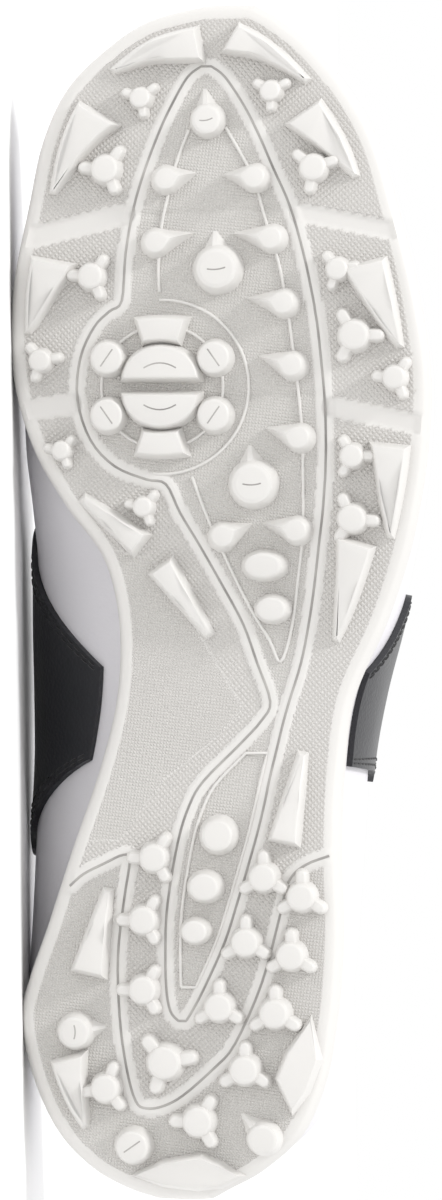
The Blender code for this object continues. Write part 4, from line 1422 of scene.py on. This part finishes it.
def build_stage(settings):
    """Pale floor, soft lights and the camera, square to the photo's view of the sole."""
    bm = bmesh.new()
    bmesh.ops.create_grid(bm, x_segments=1, y_segments=1, size=12)
    mesh = bpy.data.meshes.new("studio_floor")
    bm.to_mesh(mesh)
    bm.free()
    floor = bpy.data.objects.new("studio_floor", mesh)
    bpy.context.scene.collection.objects.link(floor)
    material, tree, shader = new_material("matt_floor_paint", "floor_white", 0.9)
    grain = add_node(tree, "ShaderNodeTexNoise", {"Scale": 40.0})
    bump = add_node(tree, "ShaderNodeBump", {"Distance": 0.0001, "Strength": 0.2}, Height=grain.outputs[0])
    tree.links.new(bump.outputs[0], shader.inputs["Normal"])
    mesh.materials.append(material)
    target = LYING @ Vector((0.5005 * LENGTH, 0.05 * BALL_WIDTH, 0.011))
    turn = LYING.to_3x3()
    view = radians(6.5)
    back = turn @ Vector((0, sin(view), -cos(view)))
    up = turn @ Vector((1, 0, 0))
    right = up.cross(back).normalized()
    up = back.cross(right).normalized()
    data = bpy.data.cameras.new("camera")
    data.sensor_width = 36
    data.lens = 36 * settings.camera_distance / (1200 * 0.0002406)
    camera = bpy.data.objects.new("camera", data)
    bpy.context.scene.collection.objects.link(camera)
    rotation = Matrix((right, up, back)).transposed().to_4x4()
    camera.matrix_world = Matrix.Translation(target + back * settings.camera_distance) @ rotation
    bpy.context.scene.camera = camera
    bpy.context.scene.view_settings.view_transform = "Standard"
    world = bpy.data.worlds.new("studio")
    world.use_nodes = True
    world.node_tree.nodes["Background"].inputs[0].default_value = (1, 1, 1, 1)
    world.node_tree.nodes["Background"].inputs[1].default_value = 1.0
    bpy.context.scene.world = world
    lamps = (("key", (-0.9, -0.55, 1.7), 1.5, 12), ("rim", (0.8, 0.2, 1.6), 0.3, 50))
    for name, spot, power, spread in lamps:
        light = bpy.data.lights.new(name, "SUN")
        light.angle = radians(spread)
        light.energy = power
        lamp = bpy.data.objects.new(name, light)
        bpy.context.scene.collection.objects.link(lamp)
        lamp.location = spot
        aim(lamp, Vector((0, 0, 0.05)))


class TURFSHOE_OT_sole(bpy.types.Operator):
    """Build the sole plate with its grooves, ribs and fine textures, and its studs"""
    bl_idname = "turf_shoe.sole"
    bl_label = "Sole and Studs"

    def execute(self, context):
        settings = context.scene.turf_shoe
        build_plate(settings)
        build_ribs(settings)
        build_studs(settings)
        build_pad_studs(settings)
        build_lines(settings)
        return {"FINISHED"}


class TURFSHOE_OT_upper(bpy.types.Operator):
    """Build the leather shell"""
    bl_idname = "turf_shoe.upper"
    bl_label = "Upper"

    def execute(self, context):
        build_upper(context.scene.turf_shoe)
        return {"FINISHED"}


class TURFSHOE_OT_panels(bpy.types.Operator):
    """Build the two dark saddle panels and their stitching"""
    bl_idname = "turf_shoe.panels"
    bl_label = "Side Panels"

    def execute(self, context):
        build_panel("medial_saddle", MEDIAL_PANEL, -1, "medial_panel")
        build_panel("lateral_saddle", LATERAL_PANEL, 1, "lateral_panel")
        build_stitches(context.scene.turf_shoe)
        return {"FINISHED"}


class TURFSHOE_OT_inside(bpy.types.Operator):
    """Build the insole, the tongue and the laces"""
    bl_idname = "turf_shoe.inside"
    bl_label = "Insole, Tongue and Laces"

    def execute(self, context):
        build_insole()
        build_tongue()
        build_laces()
        return {"FINISHED"}


class TURFSHOE_OT_stage(bpy.types.Operator):
    """Build the floor, the lights and the camera"""
    bl_idname = "turf_shoe.stage"
    bl_label = "Stage"

    def execute(self, context):
        build_stage(context.scene.turf_shoe)
        return {"FINISHED"}


class TURFSHOE_PT_main(bpy.types.Panel):
    bl_label = "Turf Shoe"
    bl_idname = "TURFSHOE_PT_main"
    bl_space_type = "VIEW_3D"
    bl_region_type = "UI"
    bl_category = "Turf Shoe"

    def draw(self, context):
        for step in STEPS:
            self.layout.operator(step.bl_idname)
        for name in TurfShoeSettings.__annotations__:
            self.layout.prop(context.scene.turf_shoe, name)


STEPS = (TURFSHOE_OT_sole, TURFSHOE_OT_upper, TURFSHOE_OT_panels, TURFSHOE_OT_inside,
         TURFSHOE_OT_stage)
CLASSES = (TurfShoeSettings, *STEPS, TURFSHOE_PT_main)


def register():
    for cls in CLASSES:
        bpy.utils.register_class(cls)
    bpy.types.Scene.turf_shoe = bpy.props.PointerProperty(type=TurfShoeSettings)


def unregister():
    del bpy.types.Scene.turf_shoe
    for cls in reversed(CLASSES):
        bpy.utils.unregister_class(cls)


def main():
    register()
    bpy.ops.turf_shoe.sole()
    bpy.ops.turf_shoe.upper()
    bpy.ops.turf_shoe.panels()
    bpy.ops.turf_shoe.inside()
    bpy.ops.turf_shoe.stage()


if __name__ == "__main__":
    main()
